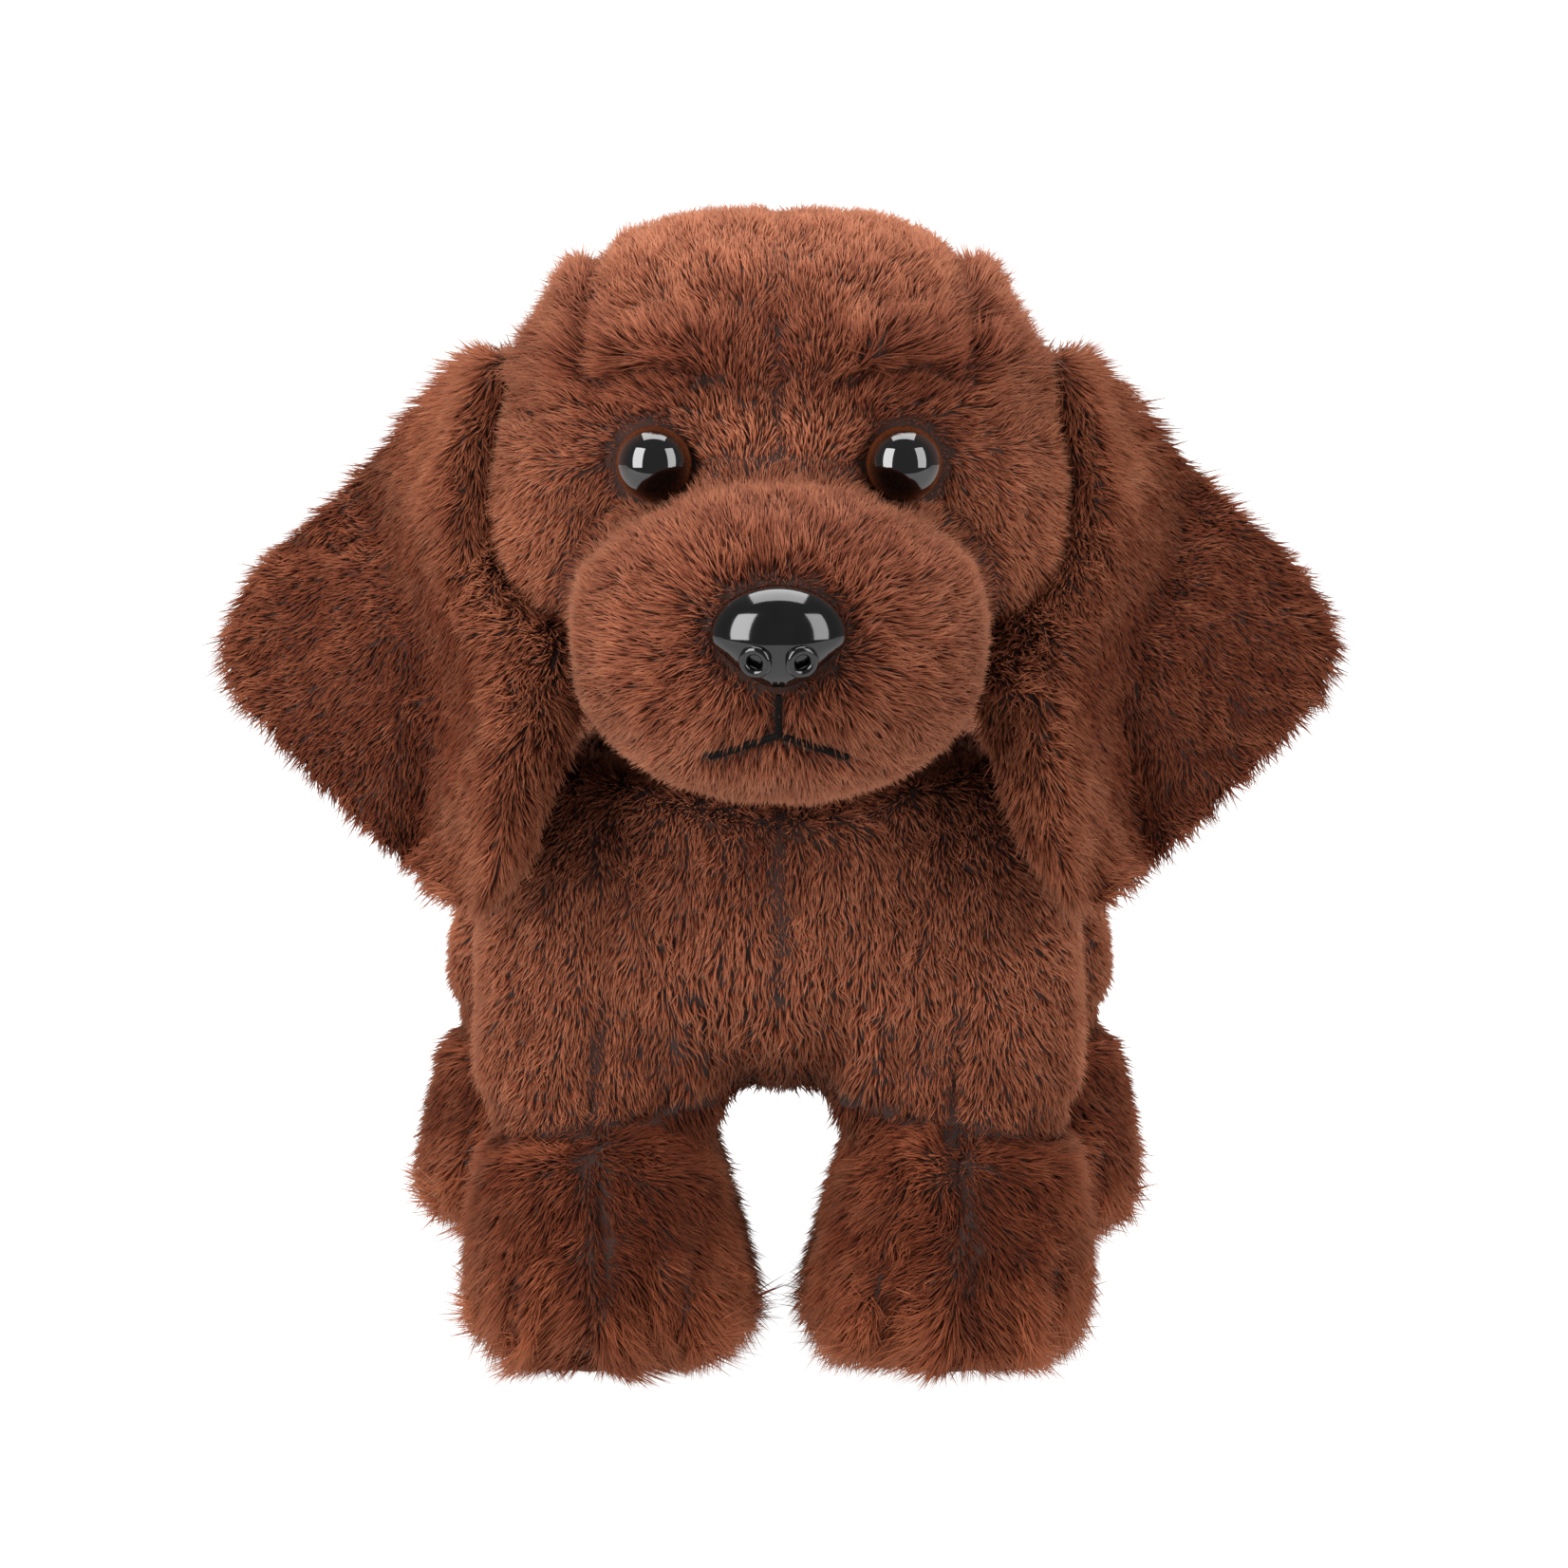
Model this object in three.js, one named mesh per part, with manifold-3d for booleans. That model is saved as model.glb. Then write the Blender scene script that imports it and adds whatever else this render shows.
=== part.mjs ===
// A plush standing puppy, about 235 mm tall. Pile-fabric skins are sewn over fibre filling, and the
// eyes and the nose are plastic, with shanks held by lock washers inside the head.
// Millimetres, +Z up, nose towards -Y, the dog's left side towards +X.
import * as THREE from "three";
import { mergeVertices } from "three/addons/utils/BufferGeometryUtils.js";
import Module from "manifold-3d";

const wasm = await Module();
wasm.setup();

// Fabric and fits.
const skin = 4; // pile and backing together
const gap = 0.3; // between pieces that are sewn or pressed together
const reach = 500; // half-size of a cutting block, past every piece

// Facets of the rounded forms.
const ballSides = 16;
const ballRings = 8;
const smallSides = 10;
const smallRings = 6;
const legSides = 12;

// Body. Its parts hang from the height of its belly, which the legs set.
const bellyHeight = 57;
const bodyDepth = 89;
const bodyLength = 194;
const bodyWidth = 94;
const bodyY = 2;
const bodyFullness = 2.5;
const backHeight = bellyHeight + bodyDepth;
const bodyFront = bodyY - bodyLength / 2;
const bodyBack = bodyY + bodyLength / 2;
const chestLength = 94;
const rumpLength = 104;
const rumpDepth = bodyDepth - 5;
const waistWidth = bodyWidth - 6;
const waistLength = bodyLength - 54;
const waistDepth = bodyDepth - 9;
const backDip = 2; // of the waist and rump below the shoulders
const bellyPanelWidth = 44;
const bellySeamHeight = bellyHeight + 25;

// Legs. X is from the middle of the dog, Y along it.
const legFullness = 3;
const foreLegWidth = 54;
const foreLegDepth = 52;
const foreLegX = bodyWidth / 2 - 10.5;
const foreLegY = bodyFront + 29;
const shoulderHeight = bellyHeight + 67;
const hockWidth = 45;
const hockDepth = 47;
const hockHeight = bellyHeight + 31;
const hindLegX = bodyWidth / 2 + 7;
const hindLegY = bodyBack - 35;
const thighWidth = 52;
const thighDepth = 80;
const thighDrop = 82;
const thighX = bodyWidth / 2 - 5;
const thighHeight = shoulderHeight;
const pawWidth = 57;
const pawDepth = 70;
const pawHeight = 54;
const pawFullness = 3.4;
const pawLead = 8; // of the paw's middle in front of the leg's
const pawSink = 3; // of the round paw below the floor, which makes the flat of the sole
const cuffHeight = pawHeight - 5;
const soleThickness = 3;

// Neck, on which the head turns and nods.
const neckY = bodyFront + 45;
const neckZ = backHeight - 8;
const neckRadius = 24;
const neckClearance = 11; // around the head, for its turn and nod

// Head. It sits on the neck, and its parts are placed from its top and its middle.
const headWidth = 115;
const headDepth = 96;
const headHeight = 108;
const headTop = neckZ + headHeight - 12;
const headY = neckY - 16; // of its middle, in front of the neck
const headFullness = 2.6;
const crownWidth = headWidth - 43;
const browHeight = headTop - 37;
const muzzleWidth = 82;
const muzzleDepth = 74;
const muzzleHeight = 63;
const muzzleY = headY - 14 - muzzleDepth / 2; // its back end stays inside the head
const muzzleZ = headTop - headHeight + muzzleHeight / 2 - 7.5;
const chinSeamHeight = muzzleZ - 19;

// Eyes and nose, with their shanks and washers.
const eyeSpacing = 48.5;
const eyeRadius = 7.4;
const eyeDepth = 6;
const eyeSink = 1.5; // of the dome's rim under the pile
const eyeHeight = muzzleZ + muzzleHeight / 2 + 1.5;
const noseWidth = 25.6;
const noseHeight = 19.2;
const noseDepth = 14;
const noseFullness = 2.3;
const noseZ = muzzleZ + 3;
const noseProud = 8;
const shankRadius = 2.2;
const shankLength = 13;
const washerRadius = 6;
const washerThickness = 1.6;
const washerClearance = 0.4;
const washerSeat = 1.8; // of a washer's deepest edge behind the back of the skin
const washerEdges = 8; // places round its edge at which the skin's slope is measured

// Mouth embroidery: one upright and two drooping arms.
const stitchWidth = 2;
const stitchHeight = 1.2;
const mouthTop = muzzleZ - 8.5;
const mouthFork = muzzleZ - 16;
const mouthEndX = 12;
const mouthEndZ = muzzleZ - 19;

// Ears: two layers, sewn into the side of the head along their top edge.
const earThickness = 3.2;
const liningThickness = 1.8;
const liningGap = 1.3; // between the two layers where the fold is tight
const earTopZ = headTop - 31;
const earSeamLength = 26;
const earSeamY = headY - 14; // front end of the seam
const earHeadGap = 5; // from the head's side to the ear's middle layer
const earTipOut = 54; // of the ear's outer corner, past the seam
const earTipDrop = 57;
const earDrop = 111;
const earRoll = 10; // how far the fold next to the head bulges forward
const earFold = 0.5; // share of the ear's width that the roll takes up
const earValley = 0.4; // share of the width at which the hollow behind the roll starts
const earHollow = 0.35; // depth of that hollow, as a share of the roll
const rollStart = 0.12; // of the half wave that makes the roll fullest half-way down
const rollEnd = 0.88;
const earTurn = 0.35; // share of the ear's length over which it turns to face the front
const earAcross = 9;
const earDown = 9;

// Tail.
const tailHeight = backHeight - 28;
const tailRadius = 9.5;
const tailTipRadius = 5;
const tailLength = 72;
const tailDroop = 22;
const tailPitch = 20; // degrees below level, at the root
const tailSink = 3; // of the tail's turning point inside the rump
const tailStart = 2; // of the tail's open end behind its turning point
const tailRounding = 0.14; // share of the tail's length that its round end takes up
const tailCore = 0.5; // least radius of the hollow in the tail
const tailClearance = 5.5;
const tailSides = 10;
const tailSteps = 6;

const shortPile = "#8a5a47";
const longPile = "#5f3324";
const earPile = "#6e4030";
const liningPile = "#57301f";
const fibre = "#e9e6df";
const glossBlack = "#100d0c";
const eyeBrown = "#1a0f0a";
const threadBlack = "#15100e";
const washerWhite = "#d8d5cc";

// ---- Solids -------------------------------------------------------------------------------------

function solidOf(geometry) {
  const bare = geometry.clone();
  bare.deleteAttribute("normal");
  bare.deleteAttribute("uv");
  const merged = mergeVertices(bare, 1e-4);
  return new wasm.Manifold(
    new wasm.Mesh({
      numProp: 3,
      vertProperties: new Float32Array(merged.attributes.position.array),
      triVerts: new Uint32Array(merged.index.array),
    }),
  );
}

function geometryOf(solid) {
  const mesh = solid.getMesh();
  const geometry = new THREE.BufferGeometry();
  geometry.setAttribute("position", new THREE.BufferAttribute(mesh.vertProperties, mesh.numProp));
  geometry.setIndex(new THREE.BufferAttribute(mesh.triVerts, 1));
  geometry.computeVertexNormals();
  return geometry;
}

// A rounded form: fullness 2 is an ellipsoid, and a larger one is squarer, as a full cushion is.
function pillow({ size, centre, fullness, sides = ballSides, rings = ballRings }, inset = 0) {
  const geometry = new THREE.SphereGeometry(1, sides, rings).rotateX(Math.PI / 2);
  const points = geometry.attributes.position;
  const point = new THREE.Vector3();
  for (let i = 0; i < points.count; i += 1) {
    point.fromBufferAttribute(points, i);
    const spread =
      Math.abs(point.x) ** fullness + Math.abs(point.y) ** fullness + Math.abs(point.z) ** fullness;
    point.multiplyScalar(spread ** (-1 / fullness));
    points.setXYZ(i, point.x, point.y, point.z);
  }
  const [width, depth, height] = size;
  geometry.scale(width / 2 - inset, depth / 2 - inset, height / 2 - inset);
  geometry.translate(...centre);
  return solidOf(geometry);
}

// Several rounded forms joined, each drawn in by the inset.
function body(forms, inset = 0) {
  return forms.map((form) => pillow(form, inset)).reduce((all, one) => all.add(one));
}

function block({ x = [-reach, reach], y = [-reach, reach], z = [-reach, reach] }) {
  const geometry = new THREE.BoxGeometry(x[1] - x[0], y[1] - y[0], z[1] - z[0]);
  geometry.translate((x[0] + x[1]) / 2, (y[0] + y[1]) / 2, (z[0] + z[1]) / 2);
  return solidOf(geometry);
}

function ball(radius, centre) {
  const size = [2 * radius, 2 * radius, 2 * radius];
  return pillow({ size, centre, fullness: 2 });
}

// A round bar along Y, from its front end.
function bar(radius, length, [x, y, z]) {
  const geometry = new THREE.CylinderGeometry(radius, radius, length, smallSides);
  return solidOf(geometry.translate(0, length / 2, 0).translate(x, y, z));
}

// How far the front of a rounded form is from the middle plane, at a height and a width on it.
function frontOf({ size, centre, fullness }, x, z) {
  const across = Math.abs((x - centre[0]) / (size[0] / 2)) ** fullness;
  const up = Math.abs((z - centre[2]) / (size[2] / 2)) ** fullness;
  return centre[1] - (size[1] / 2) * (1 - across - up) ** (1 / fullness);
}

// The half of the dog on one side of the centre seam: side is 1 on the left and -1 on the right.
function halfBlock(side, from = gap / 2) {
  return block({ x: side > 0 ? [from, reach] : [-reach, -from] });
}

const sideName = (side) => (side > 0 ? "left" : "right");

// ---- Forms --------------------------------------------------------------------------------------

const bodyForms = [
  {
    size: [bodyWidth, chestLength, backHeight - bellyHeight],
    centre: [0, bodyY - bodyLength / 2 + chestLength / 2, (backHeight + bellyHeight) / 2],
    fullness: bodyFullness,
  },
  {
    size: [waistWidth, waistLength, waistDepth],
    centre: [0, bodyY, backHeight - backDip - waistDepth / 2],
    fullness: bodyFullness,
  },
  {
    size: [bodyWidth, rumpLength, rumpDepth],
    centre: [0, bodyY + bodyLength / 2 - rumpLength / 2, backHeight - backDip - rumpDepth / 2],
    fullness: bodyFullness,
  },
];

const skull = {
  size: [headWidth, headDepth, headHeight],
  centre: [0, headY, headTop - headHeight / 2],
  fullness: headFullness,
};
const muzzle = {
  size: [muzzleWidth, muzzleDepth, muzzleHeight],
  centre: [0, muzzleY, muzzleZ],
  fullness: headFullness,
};

const pawForm = (x, y) => ({
  size: [pawWidth, pawDepth, pawHeight + pawSink],
  centre: [x, y - pawLead, (pawHeight - pawSink) / 2],
  fullness: pawFullness,
  sides: legSides,
  rings: smallRings,
});

function legForms(fore, side) {
  if (fore) {
    const upper = {
      size: [foreLegWidth, foreLegDepth, shoulderHeight - pawHeight / 2],
      centre: [side * foreLegX, foreLegY, shoulderHeight / 2 + pawHeight / 4],
      fullness: legFullness,
      sides: legSides,
      rings: smallRings,
    };
    return [upper, pawForm(side * foreLegX, foreLegY)];
  }
  const hock = {
    size: [hockWidth, hockDepth, hockHeight - pawSink],
    centre: [side * hindLegX, hindLegY, (hockHeight + pawSink) / 2],
    fullness: legFullness,
    sides: legSides,
    rings: smallRings,
  };
  const thigh = {
    size: [thighWidth, thighDepth, thighDrop],
    centre: [side * thighX, hindLegY, thighHeight - thighDrop / 2],
    fullness: bodyFullness,
    sides: legSides,
    rings: smallRings,
  };
  return [thigh, hock, pawForm(side * hindLegX, hindLegY)];
}

const neck = [0, neckY, neckZ];
const rumpBack = 2 * bodyForms[2].centre[1] - frontOf(bodyForms[2], 0, tailHeight);
const tailRoot = [0, rumpBack - tailSink, tailHeight];

// ---- Pieces -------------------------------------------------------------------------------------

function fabric(name, solid, color) {
  const material = new THREE.MeshStandardMaterial({ color, roughness: 0.95, metalness: 0 });
  const mesh = new THREE.Mesh(geometryOf(solid), material);
  mesh.name = name;
  return mesh;
}

function hard(name, solid, color, roughness) {
  const mesh = fabric(name, solid, color);
  mesh.material.roughness = roughness;
  return mesh;
}

// An eye: a dome on a shank that goes through the face's fabric. grow makes the hole for it.
function eyeSolid(side, grow = 0) {
  const x = (side * eyeSpacing) / 2;
  const face = frontOf(skull, x, eyeHeight) + eyeSink;
  const dome = pillow(
    {
      size: [2 * eyeRadius, 2 * eyeDepth, 2 * eyeRadius],
      centre: [x, face, eyeHeight],
      fullness: 2,
      sides: smallSides,
      rings: smallRings,
    },
    -grow,
  );
  const front = dome.intersect(block({ y: [-reach, face + grow] }));
  return front.add(bar(shankRadius + grow, shankLength, [x, face - eyeDepth / 2, eyeHeight]));
}

function noseSolid(grow = 0) {
  const front = frontOf(muzzle, 0, noseZ) - noseProud;
  const dome = pillow(
    {
      size: [noseWidth, noseDepth, noseHeight],
      centre: [0, front + noseDepth / 2, noseZ],
      fullness: noseFullness,
      sides: legSides,
      rings: smallRings,
    },
    -grow,
  );
  const shankStart = [0, front + noseDepth / 2, noseZ];
  return dome.add(bar(shankRadius + grow, shankLength + noseDepth / 2, shankStart));
}

// A lock washer on a shank, just behind the fabric that it holds.
function washerSolid([x, y, z], grow = 0) {
  const start = y - grow;
  const disc = bar(washerRadius + grow, washerThickness + 2 * grow, [x, start, z]);
  if (grow > 0) return disc;
  return disc.subtract(bar(shankRadius + washerClearance, reach, [x, y - reach / 2, z]));
}

// The place of each washer: behind the skin, or behind the nose's dome where that reaches deeper.
function eyeWasherPlace(side) {
  const x = (side * eyeSpacing) / 2;
  const lining = { ...skull, size: skull.size.map((width) => width - 2 * skin) };
  const depths = [];
  for (let i = 0; i < washerEdges; i += 1) {
    const turn = (2 * Math.PI * i) / washerEdges;
    const across = x + washerRadius * Math.cos(turn);
    depths.push(frontOf(lining, across, eyeHeight + washerRadius * Math.sin(turn)));
  }
  return [x, Math.max(...depths) + washerSeat, eyeHeight];
}

function noseWasherPlace() {
  const domeBack = frontOf(muzzle, 0, noseZ) - noseProud + noseDepth;
  return [0, domeBack + skin, noseZ];
}

function headPieces() {
  const eyeHoles = eyeSolid(1, gap).add(eyeSolid(-1, gap));
  const neckHole = ball(neckRadius + 2 * gap, neck);
  const face = pillow(skull)
    .subtract(pillow(skull, skin))
    .subtract(pillow(muzzle, -gap))
    .subtract(eyeHoles)
    .subtract(neckHole);
  const snout = pillow(muzzle)
    .subtract(pillow(muzzle, skin))
    .subtract(pillow(skull, -gap))
    .subtract(eyeHoles)
    .subtract(noseSolid(gap));
  const crown = block({ x: [-crownWidth / 2, crownWidth / 2], z: [browHeight, reach] });
  const besideCrown = crownWidth / 2 + gap;
  const crownCut = block({ x: [-besideCrown, besideCrown], z: [browHeight - gap, reach] });
  const pieces = [];
  for (const side of [1, -1]) {
    const half = face.intersect(halfBlock(side));
    pieces.push(fabric(`crown_${sideName(side)}`, half.intersect(crown), shortPile));
    pieces.push(fabric(`cheek_${sideName(side)}`, half.subtract(crownCut), shortPile));
    pieces.push(hard(`eye_${sideName(side)}`, eyeSolid(side), eyeBrown, 0.08));
    const washer = washerSolid(eyeWasherPlace(side));
    pieces.push(hard(`eye_washer_${sideName(side)}`, washer, washerWhite, 0.5));
  }
  pieces.push(fabric("muzzle", snout.intersect(block({ z: [chinSeamHeight, reach] })), shortPile));
  pieces.push(fabric("chin", snout.intersect(block({ z: [-reach, chinSeamHeight - gap] })), shortPile));
  pieces.push(hard("nose", noseSolid(), glossBlack, 0.12));
  pieces.push(hard("nose_washer", washerSolid(noseWasherPlace()), washerWhite, 0.5));

  const filling = body([skull, muzzle], skin + gap)
    .subtract(neckHole)
    .subtract(eyeHoles)
    .subtract(noseSolid(gap))
    .subtract(washerSolid(eyeWasherPlace(1), gap))
    .subtract(washerSolid(eyeWasherPlace(-1), gap))
    .subtract(washerSolid(noseWasherPlace(), gap));
  pieces.push(fabric("head_filling", filling, fibre));
  pieces.push(fabric("mouth_embroidery", mouthSolid(), threadBlack));
  return pieces;
}

// Satin stitches in an upside-down Y, lying on the muzzle.
function mouthSolid() {
  const stroke = (x0, z0, x1, z1) => {
    const length = Math.hypot(x1 - x0, z1 - z0) + stitchWidth;
    const geometry = new THREE.BoxGeometry(length, muzzleDepth, stitchWidth);
    geometry.rotateY(-Math.atan2(z1 - z0, x1 - x0));
    return solidOf(geometry.translate((x0 + x1) / 2, muzzleY - muzzleDepth / 2, (z0 + z1) / 2));
  };
  const strokes = stroke(0, mouthTop, 0, mouthFork)
    .add(stroke(0, mouthFork, mouthEndX, mouthEndZ))
    .add(stroke(0, mouthFork, -mouthEndX, mouthEndZ));
  return pillow(muzzle, -gap - stitchHeight)
    .subtract(pillow(muzzle, -gap))
    .intersect(strokes)
    .subtract(noseSolid(gap));
}

// One layer of an ear. Its inner edge hangs by the cheek and under the jaw, its outer edge goes out
// to a corner and back in, and the cloth between them rolls forward next to the head.
function earLayer(side, thickness, offset) {
  const seamX = headWidth / 2 + earHeadGap;
  const edge = (points) =>
    new THREE.CatmullRomCurve3(points.map(([x, y, z]) => new THREE.Vector3(x, y, z)));
  const bottomZ = earTopZ - earDrop;
  const frontY = foreLegY - foreLegDepth / 2 - earRoll;
  const inner = edge([
    [seamX - 3, earSeamY, earTopZ],
    [seamX + 1, earSeamY - 8, earTopZ - earDrop * 0.22],
    [seamX - 5, earSeamY - 14, earTopZ - earDrop * 0.44],
    [seamX - 14, frontY, earTopZ - earDrop * 0.66],
    [seamX - 15, frontY - 2, earTopZ - earDrop * 0.86],
    [seamX - 6, frontY, bottomZ],
  ]);
  const outer = edge([
    [seamX, earSeamY + earSeamLength, earTopZ],
    [seamX + earTipOut * 0.4, earSeamY + earSeamLength, earTopZ - earTipDrop * 0.42],
    [seamX + earTipOut, earSeamY + earSeamLength - 4, earTopZ - earTipDrop],
    [seamX + earTipOut * 0.58, earSeamY + 4, earTopZ - earDrop * 0.76],
    [seamX + earTipOut * 0.22, frontY + 10, earTopZ - earDrop * 0.94],
    [seamX - 1, frontY + 3, bottomZ - 1],
  ]);
  const middle = (u, v) => {
    const point = inner.getPoint(v).lerp(outer.getPoint(v), u);
    const fold = Math.sin(Math.PI * Math.min(1, u / earFold)) ** 2;
    const hollow = Math.sin(Math.PI * Math.max(0, (u - earValley) / (1 - earValley)));
    const along = Math.sin(Math.PI * THREE.MathUtils.lerp(rollStart, rollEnd, v));
    point.y += (hollow * earHollow - fold) * earRoll * along;
    return point;
  };
  // The layers lie side by side on the head's side at the seam, and one behind the other below it.
  const layersApart = (v) => {
    const turned = THREE.MathUtils.smoothstep(v, 0, earTurn);
    return new THREE.Vector3(1, 0, 0).lerp(new THREE.Vector3(0, -1, 0), turned).normalize();
  };
  const geometry = new THREE.BoxGeometry(1, 1, 1, earAcross, earDown, 1);
  const points = geometry.attributes.position;
  for (let i = 0; i < points.count; i += 1) {
    const u = points.getX(i) + 0.5;
    const v = 0.5 - points.getY(i);
    const place = middle(u, v).addScaledVector(layersApart(v), offset + points.getZ(i) * thickness);
    points.setXYZ(i, place.x * side, place.y, place.z);
  }
  if (side < 0) geometry.index.array.reverse();
  return solidOf(geometry);
}

function earPieces(side) {
  const liningOffset = (earThickness + liningThickness) / 2 + liningGap;
  const outer = earLayer(side, earThickness, 0);
  const lining = earLayer(side, liningThickness, -liningOffset);
  return [
    fabric(`ear_${sideName(side)}`, outer, earPile),
    fabric(`ear_lining_${sideName(side)}`, lining, liningPile),
  ];
}

function bodyPieces() {
  const cut = body([skull, muzzle], -neckClearance)
    .add(ball(neckRadius + 2 * gap, neck))
    .add(ball(tailRadius + tailClearance, tailRoot));
  const shell = body(bodyForms).subtract(body(bodyForms, skin)).subtract(cut);
  const half = bellyPanelWidth / 2;
  const belly = block({ x: [-half, half], z: [-reach, bellySeamHeight] });
  const bellyCut = block({ x: [-half - gap, half + gap], z: [-reach, bellySeamHeight + gap] });
  const pieces = [];
  for (const side of [1, -1]) {
    const panel = shell.intersect(halfBlock(side)).subtract(bellyCut);
    pieces.push(fabric(`body_side_${sideName(side)}`, panel, shortPile));
  }
  pieces.push(fabric("belly", shell.intersect(belly), shortPile));
  pieces.push(fabric("body_filling", body(bodyForms, skin + gap).subtract(cut), fibre));
  return pieces;
}

function legPieces(fore, side) {
  const name = `${fore ? "fore" : "hind"}_%_${sideName(side)}`;
  const forms = legForms(fore, side);
  const ground = block({ z: [0, reach] });
  const torso = body(bodyForms, -gap);
  const shell = body(forms).subtract(body(forms, skin)).subtract(torso);
  const sole = body(forms).intersect(block({ z: [0, soleThickness] }));
  const paw = shell.intersect(block({ z: [soleThickness + gap, cuffHeight] }));
  const upper = shell.intersect(block({ z: [cuffHeight + gap, reach] }));
  const filling = body(forms, skin + gap)
    .subtract(torso)
    .intersect(ground)
    .intersect(block({ z: [soleThickness + gap, reach] }));
  return [
    fabric(name.replace("%", "leg"), upper, shortPile),
    fabric(name.replace("%", "paw"), paw, longPile),
    fabric(name.replace("%", "sole"), sole, liningPile),
    fabric(name.replace("%", "leg_filling"), filling, fibre),
  ];
}

// A tapered, drooping tail, open at its root.
function tailSolid(inset = 0) {
  const profile = [new THREE.Vector2(0, tailStart - inset)];
  for (let i = 0; i <= tailSteps; i += 1) {
    const along = i / tailSteps;
    const intoEnd = Math.max(0, 1 - (1 - along) / tailRounding);
    const tapered = tailRadius + (tailTipRadius - tailRadius) * along;
    const radius = Math.max(tapered * Math.sqrt(1 - intoEnd ** 2) - inset, tailCore);
    const place = tailStart + along * tailLength - inset;
    profile.push(new THREE.Vector2(i === tailSteps ? 0 : radius, place));
  }
  const geometry = new THREE.LatheGeometry(profile, tailSides);
  const points = geometry.attributes.position;
  for (let i = 0; i < points.count; i += 1) {
    const along = points.getY(i) / tailLength;
    points.setZ(i, points.getZ(i) - tailDroop * along * along);
  }
  geometry.rotateX((-tailPitch * Math.PI) / 180).translate(...tailRoot);
  return solidOf(geometry);
}

function tailPieces() {
  return [
    fabric("tail", tailSolid().subtract(tailSolid(skin)), shortPile),
    fabric("tail_filling", tailSolid(skin + gap), fibre),
  ];
}

const dog = new THREE.Group();
const head = new THREE.Group();
head.add(...headPieces(), ...earPieces(1), ...earPieces(-1));
dog.add(head, fabric("neck_filling", ball(neckRadius, neck), fibre));
dog.add(...bodyPieces(), ...tailPieces());
for (const fore of [true, false]) {
  for (const side of [1, -1]) dog.add(...legPieces(fore, side));
}

// The origin goes to the floor, under the middle of the toy's outer box.
const outline = new THREE.Box3().setFromObject(dog);
const middle = outline.getCenter(new THREE.Vector3());
dog.position.set(-middle.x, -middle.y, -outline.min.z);
dog.updateMatrixWorld(true);

export default dog;
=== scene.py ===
import math

import bmesh
import bpy
import numpy as np
from mathutils import Matrix, Vector
from mathutils.bvhtree import BVHTree


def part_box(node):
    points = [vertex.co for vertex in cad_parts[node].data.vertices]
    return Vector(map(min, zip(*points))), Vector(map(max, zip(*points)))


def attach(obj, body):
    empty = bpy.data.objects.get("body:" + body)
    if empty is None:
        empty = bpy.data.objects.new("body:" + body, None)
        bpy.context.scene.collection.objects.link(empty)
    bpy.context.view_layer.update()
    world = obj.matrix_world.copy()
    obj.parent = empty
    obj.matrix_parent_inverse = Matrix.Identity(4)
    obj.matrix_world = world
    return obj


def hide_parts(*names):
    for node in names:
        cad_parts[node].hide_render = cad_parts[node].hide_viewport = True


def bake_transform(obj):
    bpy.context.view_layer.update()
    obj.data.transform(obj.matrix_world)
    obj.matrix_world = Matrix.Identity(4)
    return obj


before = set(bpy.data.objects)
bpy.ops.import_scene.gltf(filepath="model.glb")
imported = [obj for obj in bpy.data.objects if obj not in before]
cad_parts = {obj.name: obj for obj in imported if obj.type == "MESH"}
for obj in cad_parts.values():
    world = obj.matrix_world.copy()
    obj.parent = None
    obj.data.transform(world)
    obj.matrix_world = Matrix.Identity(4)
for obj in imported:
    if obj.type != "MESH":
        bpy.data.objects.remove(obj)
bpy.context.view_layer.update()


# ---- Head: stuffed skin ---------------------------------------------------------------------------
# The head is six panels of knitted pile fabric, sewn inside out, turned and stuffed with fibre.
# The panels' fabric swells between its seams, and the seams pull in.

VOXEL = 0.0032
SWELL_CAP = 0.0022


def joined_copy(name, nodes):
    """One object holding copies of these CAD solids, with their doubled corners merged."""
    shape = bmesh.new()
    for node in nodes:
        shape.from_mesh(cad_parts[node].data)
    bmesh.ops.remove_doubles(shape, verts=shape.verts, dist=1e-6)
    mesh = bpy.data.meshes.new(name)
    shape.to_mesh(mesh)
    shape.free()
    piece = bpy.data.objects.new(name, mesh)
    bpy.context.scene.collection.objects.link(piece)
    return piece


def apply_modifiers(piece):
    """The piece's mesh becomes what its modifiers make of it, and they are removed."""
    graph = bpy.context.evaluated_depsgraph_get()
    made = bpy.data.meshes.new_from_object(piece.evaluated_get(graph))
    piece.modifiers.clear()
    old = piece.data
    piece.data = made
    bpy.data.meshes.remove(old)


def remeshed(piece, voxel=VOXEL, rounds=6):
    """One closed skin round the copied solids, with their facets smoothed out."""
    remesh = piece.modifiers.new("skin", "REMESH")
    remesh.mode = "VOXEL"
    remesh.voxel_size = voxel
    smooth = piece.modifiers.new("smooth", "SMOOTH")
    smooth.factor = 0.5
    smooth.iterations = rounds
    apply_modifiers(piece)


def points_of(mesh):
    co = np.empty(len(mesh.vertices) * 3)
    mesh.vertices.foreach_get("co", co)
    return co.reshape(-1, 3)


def normals_of(mesh):
    n = np.empty(len(mesh.vertices) * 3)
    mesh.vertex_normals.foreach_get("vector", n)
    return n.reshape(-1, 3)


def set_points(mesh, points):
    mesh.vertices.foreach_set("co", np.ascontiguousarray(points, np.float32).ravel())
    mesh.update()


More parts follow.
